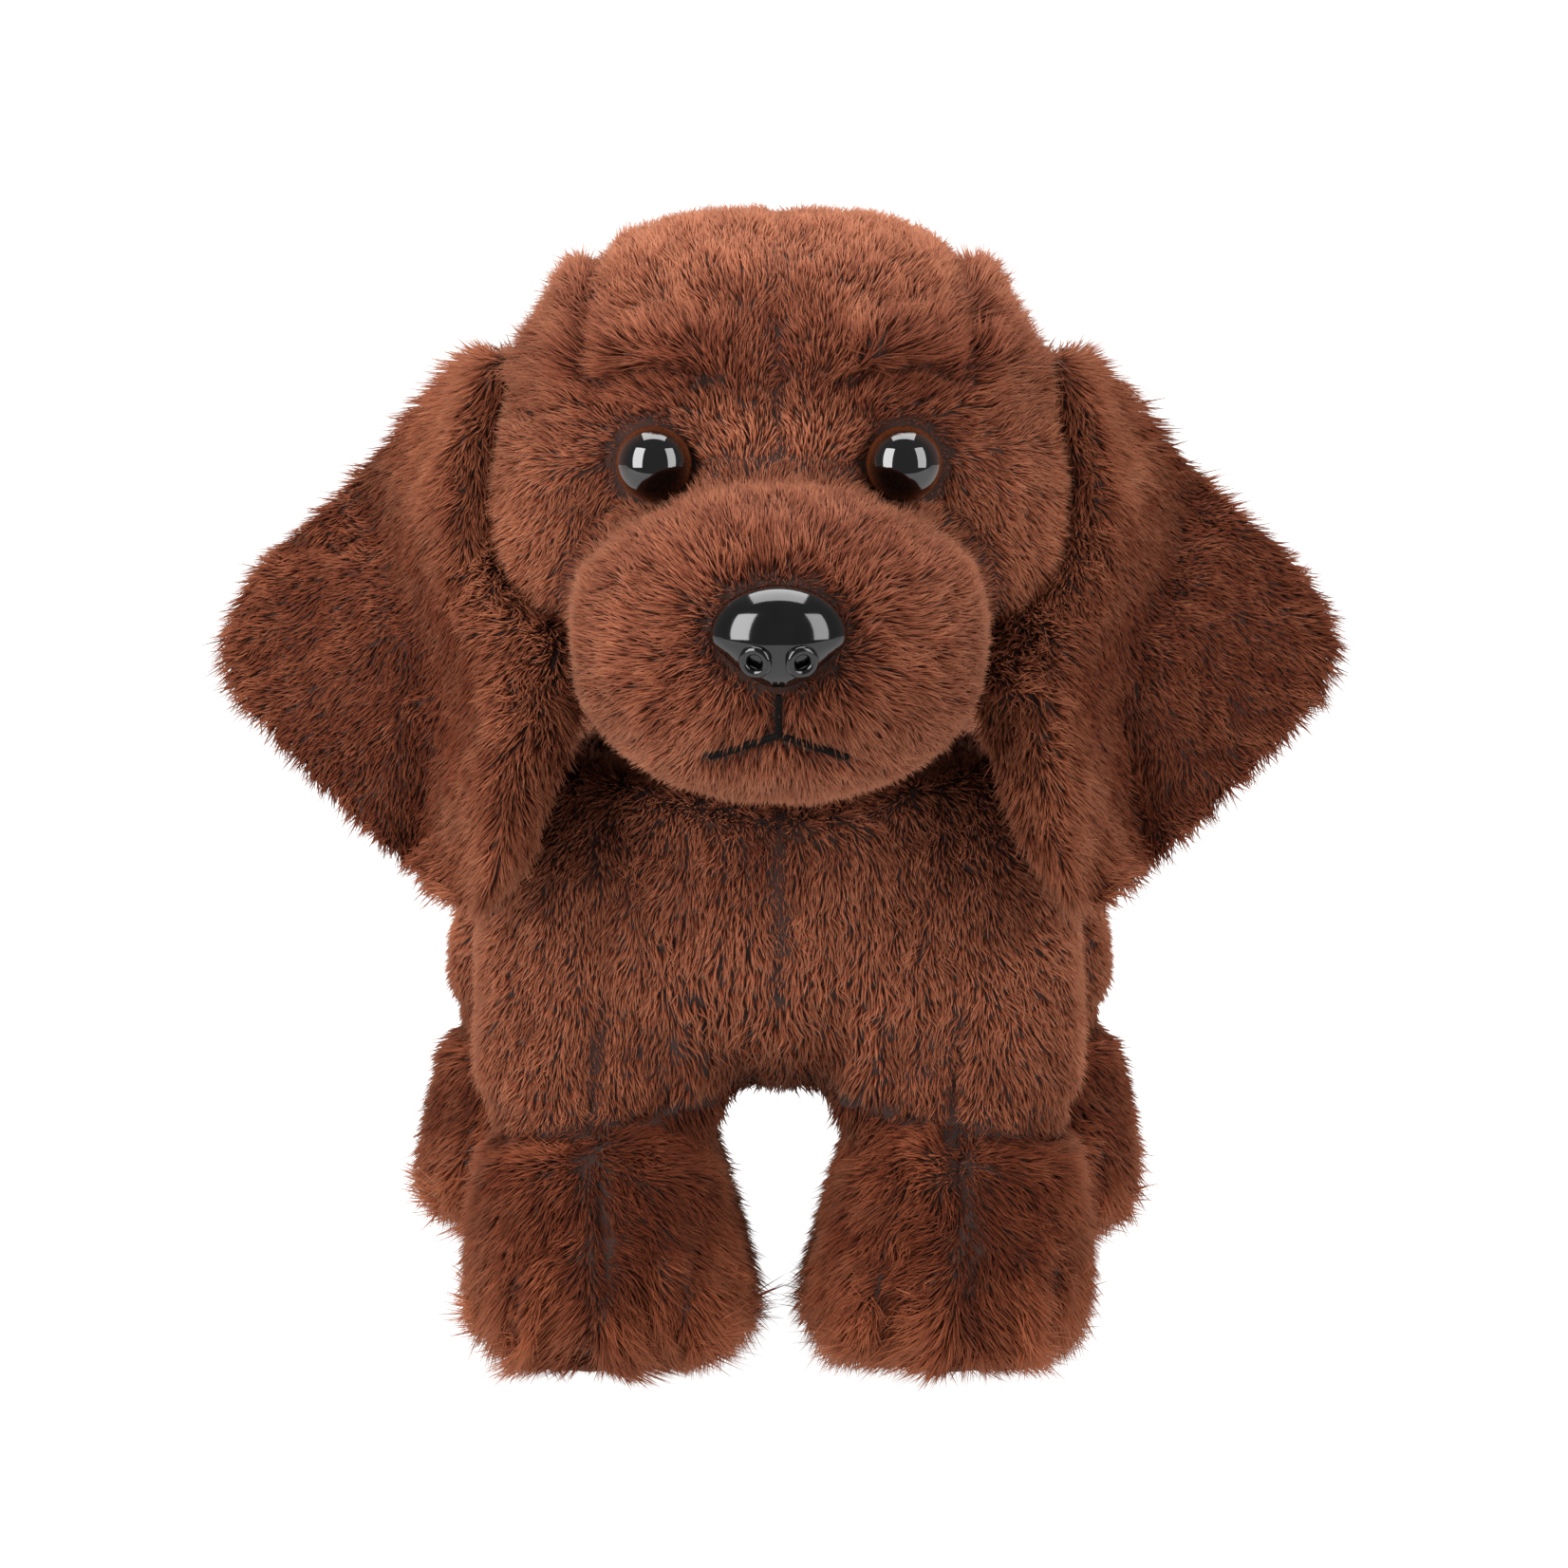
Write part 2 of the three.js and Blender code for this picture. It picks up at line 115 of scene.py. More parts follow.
def swollen(piece, held, cap=SWELL_CAP):
    """Blows the skin up like a filled bag by cloth simulation. held gives each point's hold, 0 to 1, and is 1 on the seams."""
    start = points_of(piece.data)
    group = piece.vertex_groups.new(name="held")
    for i, share in enumerate(held(start)):
        if share > 0.02:
            group.add([i], float(share), "REPLACE")
    cloth = piece.modifiers.new("cloth", "CLOTH")
    cloth.settings.use_pressure = True
    cloth.settings.uniform_pressure_force = 4
    cloth.settings.effector_weights.gravity = 0
    cloth.settings.vertex_group_mass = "held"
    cloth.settings.tension_stiffness = 12
    cloth.settings.compression_stiffness = 12
    cloth.settings.quality = 4
    scene = bpy.context.scene
    for step in range(1, 13):
        scene.frame_set(step)
    apply_modifiers(piece)
    moved = points_of(piece.data) - start
    far = np.linalg.norm(moved, axis=1, keepdims=True)
    set_points(piece.data, start + moved * np.minimum(1, cap / np.maximum(far, 1e-9)))
    scene.frame_set(1)


def wave(points, size, seed):
    """Smooth noise from -1 to 1 whose patches are about size metres across."""
    draw = np.random.default_rng(seed)
    total = np.zeros(len(points))
    for _ in range(7):
        way = draw.normal(size=3)
        way *= (math.pi / size) * draw.uniform(0.6, 1.4) / np.linalg.norm(way)
        total += np.sin(points @ way + draw.uniform(0, 2 * math.pi))
    return np.clip(total / 3.2, -1, 1)


def near(distance, width):
    """1 at a seam line, falling smoothly to 0 a width away."""
    return np.exp(-((distance / width) ** 2))


def hexed(text):
    """An sRGB hex colour as linear red, green and blue."""
    parts = [int(text[i : i + 2], 16) / 255 for i in (1, 3, 5)]
    return [c / 12.92 if c <= 0.04045 else ((c + 0.055) / 1.055) ** 2.4 for c in parts]


def add_node(tree, kind, settings=None, **links):
    """Adds a node, sets its attributes and plain inputs, and links the inputs that are given as sockets."""
    node = tree.nodes.new(kind)
    for key, value in (settings or {}).items():
        if hasattr(node, key):
            setattr(node, key, value)
        else:
            node.inputs[key].default_value = value
    for key, socket in links.items():
        tree.links.new(socket, node.inputs[key])
    return node


def empty_material(name):
    made = bpy.data.materials.new(name)
    made.use_nodes = True
    tree = made.node_tree
    tree.nodes.clear()
    shader = tree.nodes.new("ShaderNodeBsdfPrincipled")
    output = tree.nodes.new("ShaderNodeOutputMaterial")
    tree.links.new(shader.outputs["BSDF"], output.inputs["Surface"])
    return made, tree, shader


def ramp(tree, factor, stops):
    """A colour ramp of sRGB hex stops along a factor from 0 to 1."""
    node = tree.nodes.new("ShaderNodeValToRGB")
    while len(node.color_ramp.elements) < len(stops):
        node.color_ramp.elements.new(0.5)
    for element, (place, colour) in zip(node.color_ramp.elements, stops):
        element.position = place
        element.color = (*hexed(colour), 1)
    tree.links.new(factor, node.inputs["Fac"])
    return node.outputs["Color"]


# Knitted backing: matt brown polyester jersey under the pile, darker than the pile's tips.
def backing_material(name, dark, light):
    made, tree, shader = empty_material(name)
    place = add_node(tree, "ShaderNodeTexCoord")
    patches = add_node(tree, "ShaderNodeTexNoise", {"Scale": 260.0, "Detail": 6.0}, Vector=place.outputs["Object"])
    tree.links.new(ramp(tree, patches.outputs["Fac"], [(0.3, dark), (0.7, light)]), shader.inputs["Base Color"])
    shader.inputs["Roughness"].default_value = 0.95
    bump = add_node(tree, "ShaderNodeBump", {"Strength": 0.6, "Distance": 0.0006}, Height=patches.outputs["Fac"])
    tree.links.new(bump.outputs["Normal"], shader.inputs["Normal"])
    return made


# Polyester pile: fine brushed fibres. Each tuft is darker at its root (painted shade deep in the pile) and paler at
# its tip (a painted highlight), and the tufts differ a little, so the pile looks brushed. Its UV map holds tone across
# and height up.
def pile_material(name, root, low, high, tip):
    made, tree, shader = empty_material(name)
    where = add_node(tree, "ShaderNodeUVMap", {"uv_map": "OFBake"})
    parts = add_node(tree, "ShaderNodeSeparateXYZ", Vector=where.outputs["UV"])
    # Up each tuft: painted shade at the root, painted highlight at the tip.
    dark = ramp(tree, parts.outputs["Y"], [(0.0, root), (0.45, low), (1.0, high)])
    light = ramp(tree, parts.outputs["Y"], [(0.0, low), (0.4, high), (1.0, tip)])
    mixed = add_node(tree, "ShaderNodeMix", {"data_type": "RGBA"})
    tree.links.new(parts.outputs["X"], mixed.inputs[0])
    tree.links.new(dark, mixed.inputs[6])
    tree.links.new(light, mixed.inputs[7])
    tree.links.new(mixed.outputs[2], shader.inputs["Base Color"])
    shader.inputs["Roughness"].default_value = 0.7
    shader.inputs["Specular IOR Level"].default_value = 0.12
    shader.inputs["Sheen Weight"].default_value = 0.2
    shader.inputs["Sheen Roughness"].default_value = 0.45
    shader.inputs["Sheen Tint"].default_value = (*hexed("#d89a78"), 1)
    return made


def tuft_shape(bent):
    """A three-sided closed spike of width and height 1. A bent one has a waist half-way up."""
    shape = bmesh.new()
    if bent:
        bmesh.ops.create_cone(shape, segments=3, radius1=0.5, radius2=0.42, depth=0.5, cap_ends=True)
        top = [f for f in shape.faces if f.normal.z > 0.9]
        raised = bmesh.ops.extrude_face_region(shape, geom=top)["geom"]
        corners = [v for v in raised if isinstance(v, bmesh.types.BMVert)]
        bmesh.ops.delete(shape, geom=top, context="FACES_ONLY")
        bmesh.ops.translate(shape, verts=corners, vec=(0, 0, 0.5))
        bmesh.ops.pointmerge(shape, verts=corners, merge_co=(0, 0, 0.75))
        bmesh.ops.translate(shape, verts=shape.verts, vec=(0, 0, 0.25))
    else:
        bmesh.ops.create_cone(shape, segments=3, radius1=0.5, radius2=0, depth=1, cap_ends=True)
        bmesh.ops.remove_doubles(shape, verts=shape.verts, dist=1e-5)
        bmesh.ops.translate(shape, verts=shape.verts, vec=(0, 0, 0.5))
    bmesh.ops.triangulate(shape, faces=shape.faces)
    bmesh.ops.recalc_face_normals(shape, faces=shape.faces)
    shape.verts.ensure_lookup_table()
    corners = np.array([v.co for v in shape.verts])
    faces = np.array([[v.index for v in f.verts] for f in shape.faces])
    shape.free()
    return corners, faces


def scattered(mesh, per_square_mm, seed, keep=None):
    """Even places over a mesh, with their normals: (points, normals)."""
    mesh.calc_loop_triangles()
    corners = np.empty(len(mesh.loop_triangles) * 3, np.int64)
    mesh.loop_triangles.foreach_get("vertices", corners)
    corners = corners.reshape(-1, 3)
    co, no = points_of(mesh), normals_of(mesh)
    if keep is not None:
        corners = corners[keep(co[corners].mean(1), unit(no[corners].mean(1)))]
    a, b, c = (co[corners[:, i]] for i in range(3))
    area = np.linalg.norm(np.cross(b - a, c - a), axis=1) / 2
    draw = np.random.default_rng(seed)
    count = int(area.sum() * 1e6 * per_square_mm)
    marks = (np.arange(count) + draw.random(count)) / count * area.sum()
    chosen = np.minimum(np.searchsorted(np.cumsum(area), marks), len(area) - 1)
    r1, r2 = np.sqrt(draw.random(count)), draw.random(count)
    share = np.stack([1 - r1, r1 * (1 - r2), r1 * r2], 1)[:, :, None]
    points = (co[corners[chosen]] * share).sum(1)
    normals = (no[corners[chosen]] * share).sum(1)
    return points, normals / np.linalg.norm(normals, axis=1, keepdims=True)


def unit(v):
    return v / np.maximum(np.linalg.norm(v, axis=1, keepdims=True), 1e-9)


def grow_pile(name, base, material, style, seed, keep=None):
    """Grows pile on a skin as one mesh of small tufts.

    style holds density per square mm, length and width in metres, lean in degrees, bend, and
    functions of the points: nap (which way it lies), short (0 to 1, how much it is cropped at a
    seam or a socket), tone (-1 to 1) and, where the pile is brushed longer, long (0 for none)."""
    points, normals = scattered(base.data, style["density"], seed, keep)
    draw = np.random.default_rng(seed + 1)
    count = len(points)
    bent = style.get("bend", 0) > 0
    corners, faces = tuft_shape(bent)
    nap = style["nap"](points)
    clump = style.get("clump", 0.003)
    swirl = np.stack([wave(points, clump * 2.4, seed + k) for k in (2, 3, 4)], 1)
    fine = np.stack([wave(points, clump, seed + k) for k in (5, 6, 7)], 1)
    nap = unit(nap) + 0.35 * swirl + 0.35 * fine + draw.normal(scale=0.16, size=(count, 3))
    nap = unit(nap - normals * (nap * normals).sum(1, keepdims=True))
    across = np.cross(normals, nap)
    cropped = style["short"](points)
    lean = np.radians(style["lean"] + 9 * draw.normal(size=count) + 8 * wave(points, clump * 3, seed + 9))
    lean = np.clip(lean, 0.05, 1.45)[:, None]
    along = normals * np.cos(lean) + nap * np.sin(lean)
    length = style["length"] * (1 - 0.75 * cropped) * np.clip(1 + 0.2 * draw.normal(size=count), 0.5, 1.5)
    if "long" in style:
        length *= 1 + style["long"](points)
    width = style["width"] * np.clip(1 + 0.25 * draw.normal(size=count), 0.5, 1.6) * (1 - 0.3 * cropped)
    turn = draw.random(count)[:, None] * 2 * math.pi
    side = across * np.cos(turn) + np.cross(along, across) * np.sin(turn)
    other = np.cross(along, side)
    h = corners[None, :, 2:3]
    spine = along[:, None] * h + nap[:, None] * (style.get("bend", 0) * h * h)
    spine *= length[:, None, None]
    place = points - normals * 0.0004
    shape = place[:, None] + spine
    shape = shape + (side[:, None] * corners[None, :, 0:1] + other[:, None] * corners[None, :, 1:2]) * width[:, None, None]
    tone = 0.5 + 0.26 * style["tone"](points) + 0.2 * wave(points, clump * 1.3, seed + 11)
    tone = tone + 0.12 * draw.normal(size=count) - 0.45 * cropped
    tone = np.clip(tone, 0.02, 0.98)
    mesh = bpy.data.meshes.new(name)
    all_faces = (faces[None] + np.arange(count)[:, None, None] * len(corners)).reshape(-1, 3)
    mesh.vertices.add(count * len(corners))
    mesh.vertices.foreach_set("co", shape.astype(np.float32).ravel())
    mesh.loops.add(all_faces.size)
    mesh.loops.foreach_set("vertex_index", all_faces.astype(np.int32).ravel())
    mesh.polygons.add(len(all_faces))
    mesh.polygons.foreach_set("loop_start", np.arange(0, all_faces.size, 3, dtype=np.int32))
    uv = mesh.uv_layers.new(name="OFBake")
    height = corners[faces.ravel(), 2]
    spread = 0.012 * corners[faces.ravel(), 0]
    pairs = np.empty((count, len(height), 2), np.float32)
    pairs[:, :, 0] = tone[:, None] + spread[None]
    pairs[:, :, 1] = 0.02 + 0.96 * height[None]
    uv.data.foreach_set("uv", pairs.ravel())
    mesh.update(calc_edges=True)
    mesh.validate()
    mesh.materials.append(material)
    piece = bpy.data.objects.new(name, mesh)
    bpy.context.scene.collection.objects.link(piece)
    return piece


head_nodes = [f"{part}_{side}" for part in ("crown", "cheek") for side in ("left", "right")]
head_nodes += ["muzzle", "chin", "head_filling"]
head = joined_copy("head_skin", head_nodes)
remeshed(head, rounds=8)
skull_low, skull_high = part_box("cheek_left")
crown_low, crown_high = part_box("crown_left")
muzzle_low, muzzle_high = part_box("muzzle")
chin_low, chin_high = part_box("chin")
nose_low, nose_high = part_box("nose")
eye_low, eye_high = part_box("eye_left")
eye_x = (eye_low.x + eye_high.x) / 2
eye_z = (eye_low.z + eye_high.z) / 2
nose_z = (nose_low.z + nose_high.z) / 2
eye_front = eye_low.y
face_y = crown_low.y
head_mid_y = (crown_low.y + crown_high.y) / 2
muzzle_mid = Vector((0, (muzzle_low.y + muzzle_high.y) / 2, (chin_low.z + muzzle_high.z) / 2))
brow_z = crown_low.z


def in_muzzle(p):
    """How far inside the muzzle's outline a point is, seen from the front: above 1 is outside."""
    half_width = (muzzle_high.x - muzzle_low.x) / 2
    half_height = (muzzle_high.z - chin_low.z) / 2
    r = np.abs(p[:, 0] / half_width) ** 2.4 + np.abs((p[:, 2] - muzzle_mid.z) / half_height) ** 2.4
    return np.where(p[:, 1] < face_y + 0.022, r, 9.0)


def head_seams(p):
    centre = near(p[:, 0], 0.0018) * (in_muzzle(p) > 1.1)
    centre = centre * np.where((p[:, 2] > brow_z + 0.012) | (p[:, 1] > face_y + 0.03), 0.4, 0.95)
    crown_side = near(np.abs(p[:, 0]) - crown_high.x, 0.0024) * (p[:, 2] > brow_z)
    snout = near(in_muzzle(p) - 1.12, 0.12) * (p[:, 1] < face_y + 0.016)
    return np.clip(centre + crown_side + brow_seam(p) + 0.8 * snout, 0, 1)


def brow_seam(p):
    """The seam over each eye, which arches from the nose's side up and out to the crown's side."""
    across = np.abs(p[:, 0])
    arch = brow_z - 0.001 + 0.004 * np.sin(np.clip((across - 0.011) / (crown_high.x - 0.011), 0, 1) * math.pi)
    reaches = np.clip((across - 0.009) / 0.004, 0, 1) * np.clip((crown_high.x - across) / 0.004, 0, 1)
    return near(p[:, 2] - arch, 0.0017) * reaches * (p[:, 1] < face_y + 0.03)


swollen(head, head_seams)
def sunk(piece, seams, inset=0.0022, groove=0.002):
    """Draws the skin in to leave room for its pile, and further in along its seams."""
    points = points_of(piece.data)
    set_points(piece.data, points - normals_of(piece.data) * (inset + groove * seams(points)[:, None]))


def face_relief(p):
    """The brows, the cheeks and the chin stand out, and the sockets, the middle of the forehead and the dips beside the
    muzzle go in.
    """
    front = p[:, 1] < face_y + 0.03
    across = np.abs(p[:, 0])
    brow = near(np.hypot((across - eye_x) / 1.9, p[:, 2] - brow_z - 0.008), 0.0075)
    socket = near(np.hypot((across - eye_x) / 1.25, p[:, 2] - eye_z), 0.0085)
    dip = near(np.hypot((across - eye_x - 0.008) / 1.3, p[:, 2] - eye_z + 0.012), 0.006)
    forehead = near(np.hypot(p[:, 0] / 1.2, p[:, 2] - brow_z - 0.001), 0.006)
    cheek = near(p[:, 2] - eye_z + 0.021, 0.025) * np.clip((across - 0.03) / 0.018, 0, 1)
    cheek = cheek * near(p[:, 1] - head_mid_y + 0.015, 0.045)
    chin = near(p[:, 2] - chin_low.z, 0.01) * near(p[:, 0], 0.02) * near(p[:, 1] - muzzle_mid.y + 0.01, 0.03)
    fine = (0.0034 * brow - 0.0026 * socket - 0.0018 * dip - 0.0014 * forehead) * front
    return fine + 0.0068 * cheek + 0.003 * chin - 0.0022 * brow_seam(p)


relief = points_of(head.data)
set_points(head.data, relief + normals_of(head.data) * face_relief(relief)[:, None])
sunk(head, head_seams)

PILE = pile_material("polyester pile, short", "#1a0803", "#4b1c0d", "#88452c", "#c38262")
LONG_PILE = pile_material("polyester pile, long", "#150502", "#42180a", "#7a381e", "#b06a4a")
BACKING = backing_material("polyester jersey backing", "#1a0a05", "#351a10")
head.data.materials.append(BACKING)
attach(head, "head")
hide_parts(*head_nodes)


def eye_distance(p):
    return np.hypot(np.abs(p[:, 0]) - eye_x, p[:, 2] - eye_z) + np.where(p[:, 1] < face_y + 0.03, 0, 1)


mouth_low, mouth_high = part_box("mouth_embroidery")
mouth_fork = mouth_low.z + 0.0052
MOUTH = [
    ((0.0, mouth_high.z - 0.001), (0.0, mouth_fork)),
    ((0.0, mouth_fork), (mouth_low.x + 0.001, mouth_low.z + 0.001)),
    ((0.0, mouth_fork), (mouth_high.x - 0.001, mouth_low.z + 0.001)),
]


def mouth_distance(p):
    """How far a point is from the mouth's three stitched lines, seen from the front."""
    best = np.full(len(p), 1.0)
    flat = p[:, [0, 2]]
    for a, b in MOUTH:
        a, b = np.array(a), np.array(b)
        t = np.clip((flat - a) @ (b - a) / ((b - a) @ (b - a)), 0, 1)
        best = np.minimum(best, np.linalg.norm(flat - a - t[:, None] * (b - a), axis=1))
    return np.where(p[:, 1] < muzzle_mid.y, best, 1.0)


def head_crop(p):
    """Where the pile is short: on the seams, in the eye sockets, round the nose and at the mouth."""
    eyes = near(np.maximum(eye_distance(p) - 0.007, 0), 0.0018)
    nose = near(np.maximum(np.hypot(p[:, 0] / 1.25, p[:, 2] - nose_z) - 0.0085, 0), 0.002) * (p[:, 1] < muzzle_mid.y)
    return np.clip(0.8 * head_seams(p) + eyes + nose + near(mouth_distance(p), 0.0018), 0, 1)


def head_nap(p):
    """Down and out on the cheeks, up and out over the brows, back over the crown, and away from the nose."""
    sign = np.sign(p[:, 0])
    across = np.abs(p[:, 0])
    up = np.clip((p[:, 2] - eye_z - 0.004 + 0.05 * near(p[:, 0], 0.017)) / 0.01, -1, 1)
    over_brow = near(p[:, 2] - brow_z - 0.006, 0.012)
    out = across * 12 + over_brow * (across - 0.008) * 55
    way = np.stack([sign * out, np.full(len(p), 0.45), up], 1)
    from_nose = p - np.array([0, nose_low.y, nose_z])
    on_muzzle = np.clip((1.18 - in_muzzle(p)) / 0.12, 0, 1)[:, None]
    return way * (1 - on_muzzle) + unit(from_nose) * on_muzzle * 1.2


def head_tone_and_painted_shading(p):
    """Painted sheen and shade: paler where the pile faces the light, on the bridge, the cheeks, the crown's top and the
    muzzle's rim; darker where it turns away, on the brows and in the eye sockets; darker round the nose.
    """
    r = in_muzzle(p)
    across = np.abs(p[:, 0])
    rim = near(r - 1.02, 0.12)
    band = near(r - 0.48, 0.27) * np.clip((p[:, 2] - nose_z - 0.004) / 0.006, 0, 1)
    low = np.clip((nose_z - 0.014 - p[:, 2]) / 0.012, 0, 1)
    front = p[:, 1] < face_y + 0.035
    brow = near(p[:, 2] - brow_z - 0.007, 0.011) * front
    crown_painted_light = np.clip((p[:, 2] - brow_z - 0.02) / 0.012, 0, 1)
    bridge = near(np.hypot(p[:, 0] / 1.7, p[:, 2] - eye_z - 0.001), 0.008)
    socket = near(np.hypot((across - eye_x - 0.003) / 1.3, p[:, 2] - eye_z - 0.001), 0.013)
    cheek = np.clip((eye_z + 0.004 - p[:, 2]) / 0.014, 0, 1)
    dark_middle = near(np.hypot(p[:, 0] / 1.5, p[:, 2] - brow_z - 0.003), 0.011) * front
    # Painted light on the crown's top, the bridge and the cheeks, and painted shade in the eye sockets and on the
    # brows.
    face = 0.15 + 1.4 * cheek + 2.2 * bridge - 1.1 * brow - 1.2 * dark_middle + 0.85 * crown_painted_light
    face = face - 0.7 * socket * front - 0.9 * brow_seam(p)
    snout = 0.1 * rim - 0.95 * band + 1.5 * low - 0.4
    return np.where(r < 1.1, snout, face) + 0.5 * wave(p, 0.016, 51)


def head_long(p):
    """The pile is brushed out over the brows, at the temples and round the nose."""
    across = np.abs(p[:, 0])
    brow = near(p[:, 2] - brow_z - 0.006, 0.008) * np.clip((across - 0.006) / 0.01, 0, 1) * (p[:, 1] < face_y + 0.035)
    temple = near(p[:, 2] - 0.5 * (brow_z + crown_high.z), 0.012) * near(across - crown_high.x - 0.002, 0.008)
    snout = near(in_muzzle(p) - 0.12, 0.3)
    return 0.9 * brow + 0.9 * temple + 0.5 * snout


short_style = dict(
    density=3.9, length=0.0034, width=0.00047, lean=54, nap=head_nap, short=head_crop, tone=head_tone_and_painted_shading, long=head_long
)


def crown_part(p, n):
    return (p[:, 2] > brow_z - 0.004) & (in_muzzle(p) > 1.1)


def muzzle_part(p, n):
    return in_muzzle(p) <= 1.1


back_style = dict(short_style, density=1.9, length=0.0038, width=0.00062)


def cheek_part(sign, front):
    """One side of the head, below the crown and behind the muzzle: its front or its back."""

    def part(p, n):
        away = ~crown_part(p, n) & ~muzzle_part(p, n)
        return away & (sign * p[:, 0] >= 0) & ((p[:, 1] < head_mid_y) == front)

    return part


HEAD_PILES = {
    "crown_pile": (short_style, lambda p, n: crown_part(p, n) & (p[:, 1] < head_mid_y), 100),
    "crown_back_pile": (back_style, lambda p, n: crown_part(p, n) & (p[:, 1] >= head_mid_y), 150),
    "muzzle_pile": (dict(short_style, density=3.7), muzzle_part, 200),
    "cheek_pile_left": (short_style, cheek_part(1, True), 300),
    "cheek_pile_right": (short_style, cheek_part(-1, True), 350),
    "cheek_back_pile_left": (back_style, cheek_part(1, False), 400),
    "cheek_back_pile_right": (back_style, cheek_part(-1, False), 450),
}
for name, (style, part, seed) in HEAD_PILES.items():
    pile = grow_pile(name, head, PILE, style, seed, part)
    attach(pile, "head")


# ---- Eyes -----------------------------------------------------------------------------------------
# Moulded acrylic domes, black with a dark amber rim, each pushed through the face on a shank.

def spun(name, profile, centre, segments=64):
    """A solid turned about the Y axis from (radius, y) points that start and end on the axis."""
    shape = bmesh.new()
    verts = [shape.verts.new((r, y, 0)) for r, y in profile]
    edges = [shape.edges.new(pair) for pair in zip(verts, verts[1:])]
    bmesh.ops.spin(
        shape, geom=verts + edges, cent=(0, 0, 0), axis=(0, 1, 0), angle=2 * math.pi, steps=segments, use_merge=True
    )
    bmesh.ops.remove_doubles(shape, verts=shape.verts, dist=1e-6)
    bmesh.ops.recalc_face_normals(shape, faces=shape.faces)
    bmesh.ops.translate(shape, verts=shape.verts, vec=centre)
    for face in shape.faces:
        face.smooth = True
    mesh = bpy.data.meshes.new(name)
    shape.to_mesh(mesh)
    shape.free()
    piece = bpy.data.objects.new(name, mesh)
    bpy.context.scene.collection.objects.link(piece)
    return piece


def eye_material(side):
    """Acrylic: the pupil is black and the rim is dark amber. The gloss is the moulded skin."""
    made, tree, shader = empty_material(f"acrylic eye {side}")
    place = add_node(tree, "ShaderNodeTexCoord")
    centred = add_node(
        tree, "ShaderNodeMapping", {"Location": (-SIDE[side] * eye_x, 0.0, -eye_z)}, Vector=place.outputs["Object"]
    )
    flat = add_node(tree, "ShaderNodeVectorMath", {"operation": "MULTIPLY"}, )
    tree.links.new(centred.outputs["Vector"], flat.inputs[0])
    flat.inputs[1].default_value = (1 / eye_radius, 0, 1 / eye_radius)
    far = add_node(tree, "ShaderNodeVectorMath", {"operation": "LENGTH"})
    tree.links.new(flat.outputs["Vector"], far.inputs[0])
    colour = ramp(
        tree, far.outputs["Value"], [(0.0, "#030202"), (0.7, "#050303"), (0.86, "#241008"), (0.97, "#4a230f")]
    )
    tree.links.new(colour, shader.inputs["Base Color"])
    shader.inputs["Roughness"].default_value = 0.04
    shader.inputs["IOR"].default_value = 1.49
    shader.inputs["Coat Weight"].default_value = 0.6
    shader.inputs["Coat Roughness"].default_value = 0.02
    return made


SIDE = {"left": 1, "right": -1}
eye_radius = (eye_high.x - eye_low.x) / 2
dome_depth = 0.0062
for side, sign in SIDE.items():
    arc = [(eye_radius * math.sin(a), -dome_depth * math.cos(a)) for a in np.linspace(0, math.pi / 2, 20)]
    back = [(eye_radius * 0.97, 0.0006), (0.0022, 0.0008), (0.0022, 0.0095), (0.0, 0.0098)]
    eye = spun(f"eye_dome_{side}", arc + back, (sign * eye_x, eye_front + dome_depth, eye_z))
    eye.data.materials.append(eye_material(side))
    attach(eye, "head")
    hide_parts(f"eye_{side}")


# ---- Nose -----------------------------------------------------------------------------------------
# One moulded ABS piece with a shank: a wide domed top, a narrower lip and two ringed nostrils.

def finished(shape, name):
    """The bmesh as a smooth-shaded object in the scene."""
    for face in shape.faces:
        face.smooth = True
    mesh = bpy.data.meshes.new(name)
    shape.to_mesh(mesh)
    shape.free()
    piece = bpy.data.objects.new(name, mesh)
    bpy.context.scene.collection.objects.link(piece)
    return piece


def ring(shape, centre, facing, radius, thick):
    """Adds a torus to the bmesh, flat to the facing direction."""
    before = set(shape.verts)
    circle = bmesh.ops.create_circle(
        shape, segments=12, radius=thick, matrix=Matrix.Translation((radius, 0, 0)) @ Matrix.Rotation(math.pi / 2, 4, "X")
    )
    edges = list({e for v in circle["verts"] for e in v.link_edges})
    bmesh.ops.spin(
        shape, geom=circle["verts"] + edges, cent=(0, 0, 0), axis=(0, 0, 1), angle=2 * math.pi, steps=24, use_merge=True
    )
    made = [v for v in shape.verts if v not in before]
    turn = Vector(facing).to_track_quat("Z", "Y").to_matrix()
    bmesh.ops.transform(shape, verts=made, matrix=Matrix.Translation(centre) @ turn.to_4x4())


shape = bmesh.new()
bmesh.ops.create_uvsphere(shape, u_segments=48, v_segments=32, radius=1.0)
nose_half = Vector(((nose_high.x - nose_low.x) / 2, 0.0075, (nose_high.z - nose_low.z) / 2))
for v in shape.verts:
    lip = max(0.0, (-0.15 - v.co.z) / 0.85)
    v.co.x *= 1 - 0.42 * lip**0.8
    v.co.y *= 1 - 0.25 * lip
    groove = math.exp(-((v.co.x / 0.08) ** 2)) * max(0.0, -0.1 - v.co.z)
    v.co.y += 0.1 * groove * (v.co.y < 0)
bmesh.ops.scale(shape, verts=shape.verts, vec=nose_half)
nose_at = Vector((0, nose_low.y + nose_half.y, nose_z))
bmesh.ops.translate(shape, verts=shape.verts, vec=nose_at)
for sign in SIDE.values():
    ring(shape, nose_at + Vector((sign * 0.0043, -0.0062, -0.0042)), (sign * 0.3, -1, -0.3), 0.0023, 0.0009)
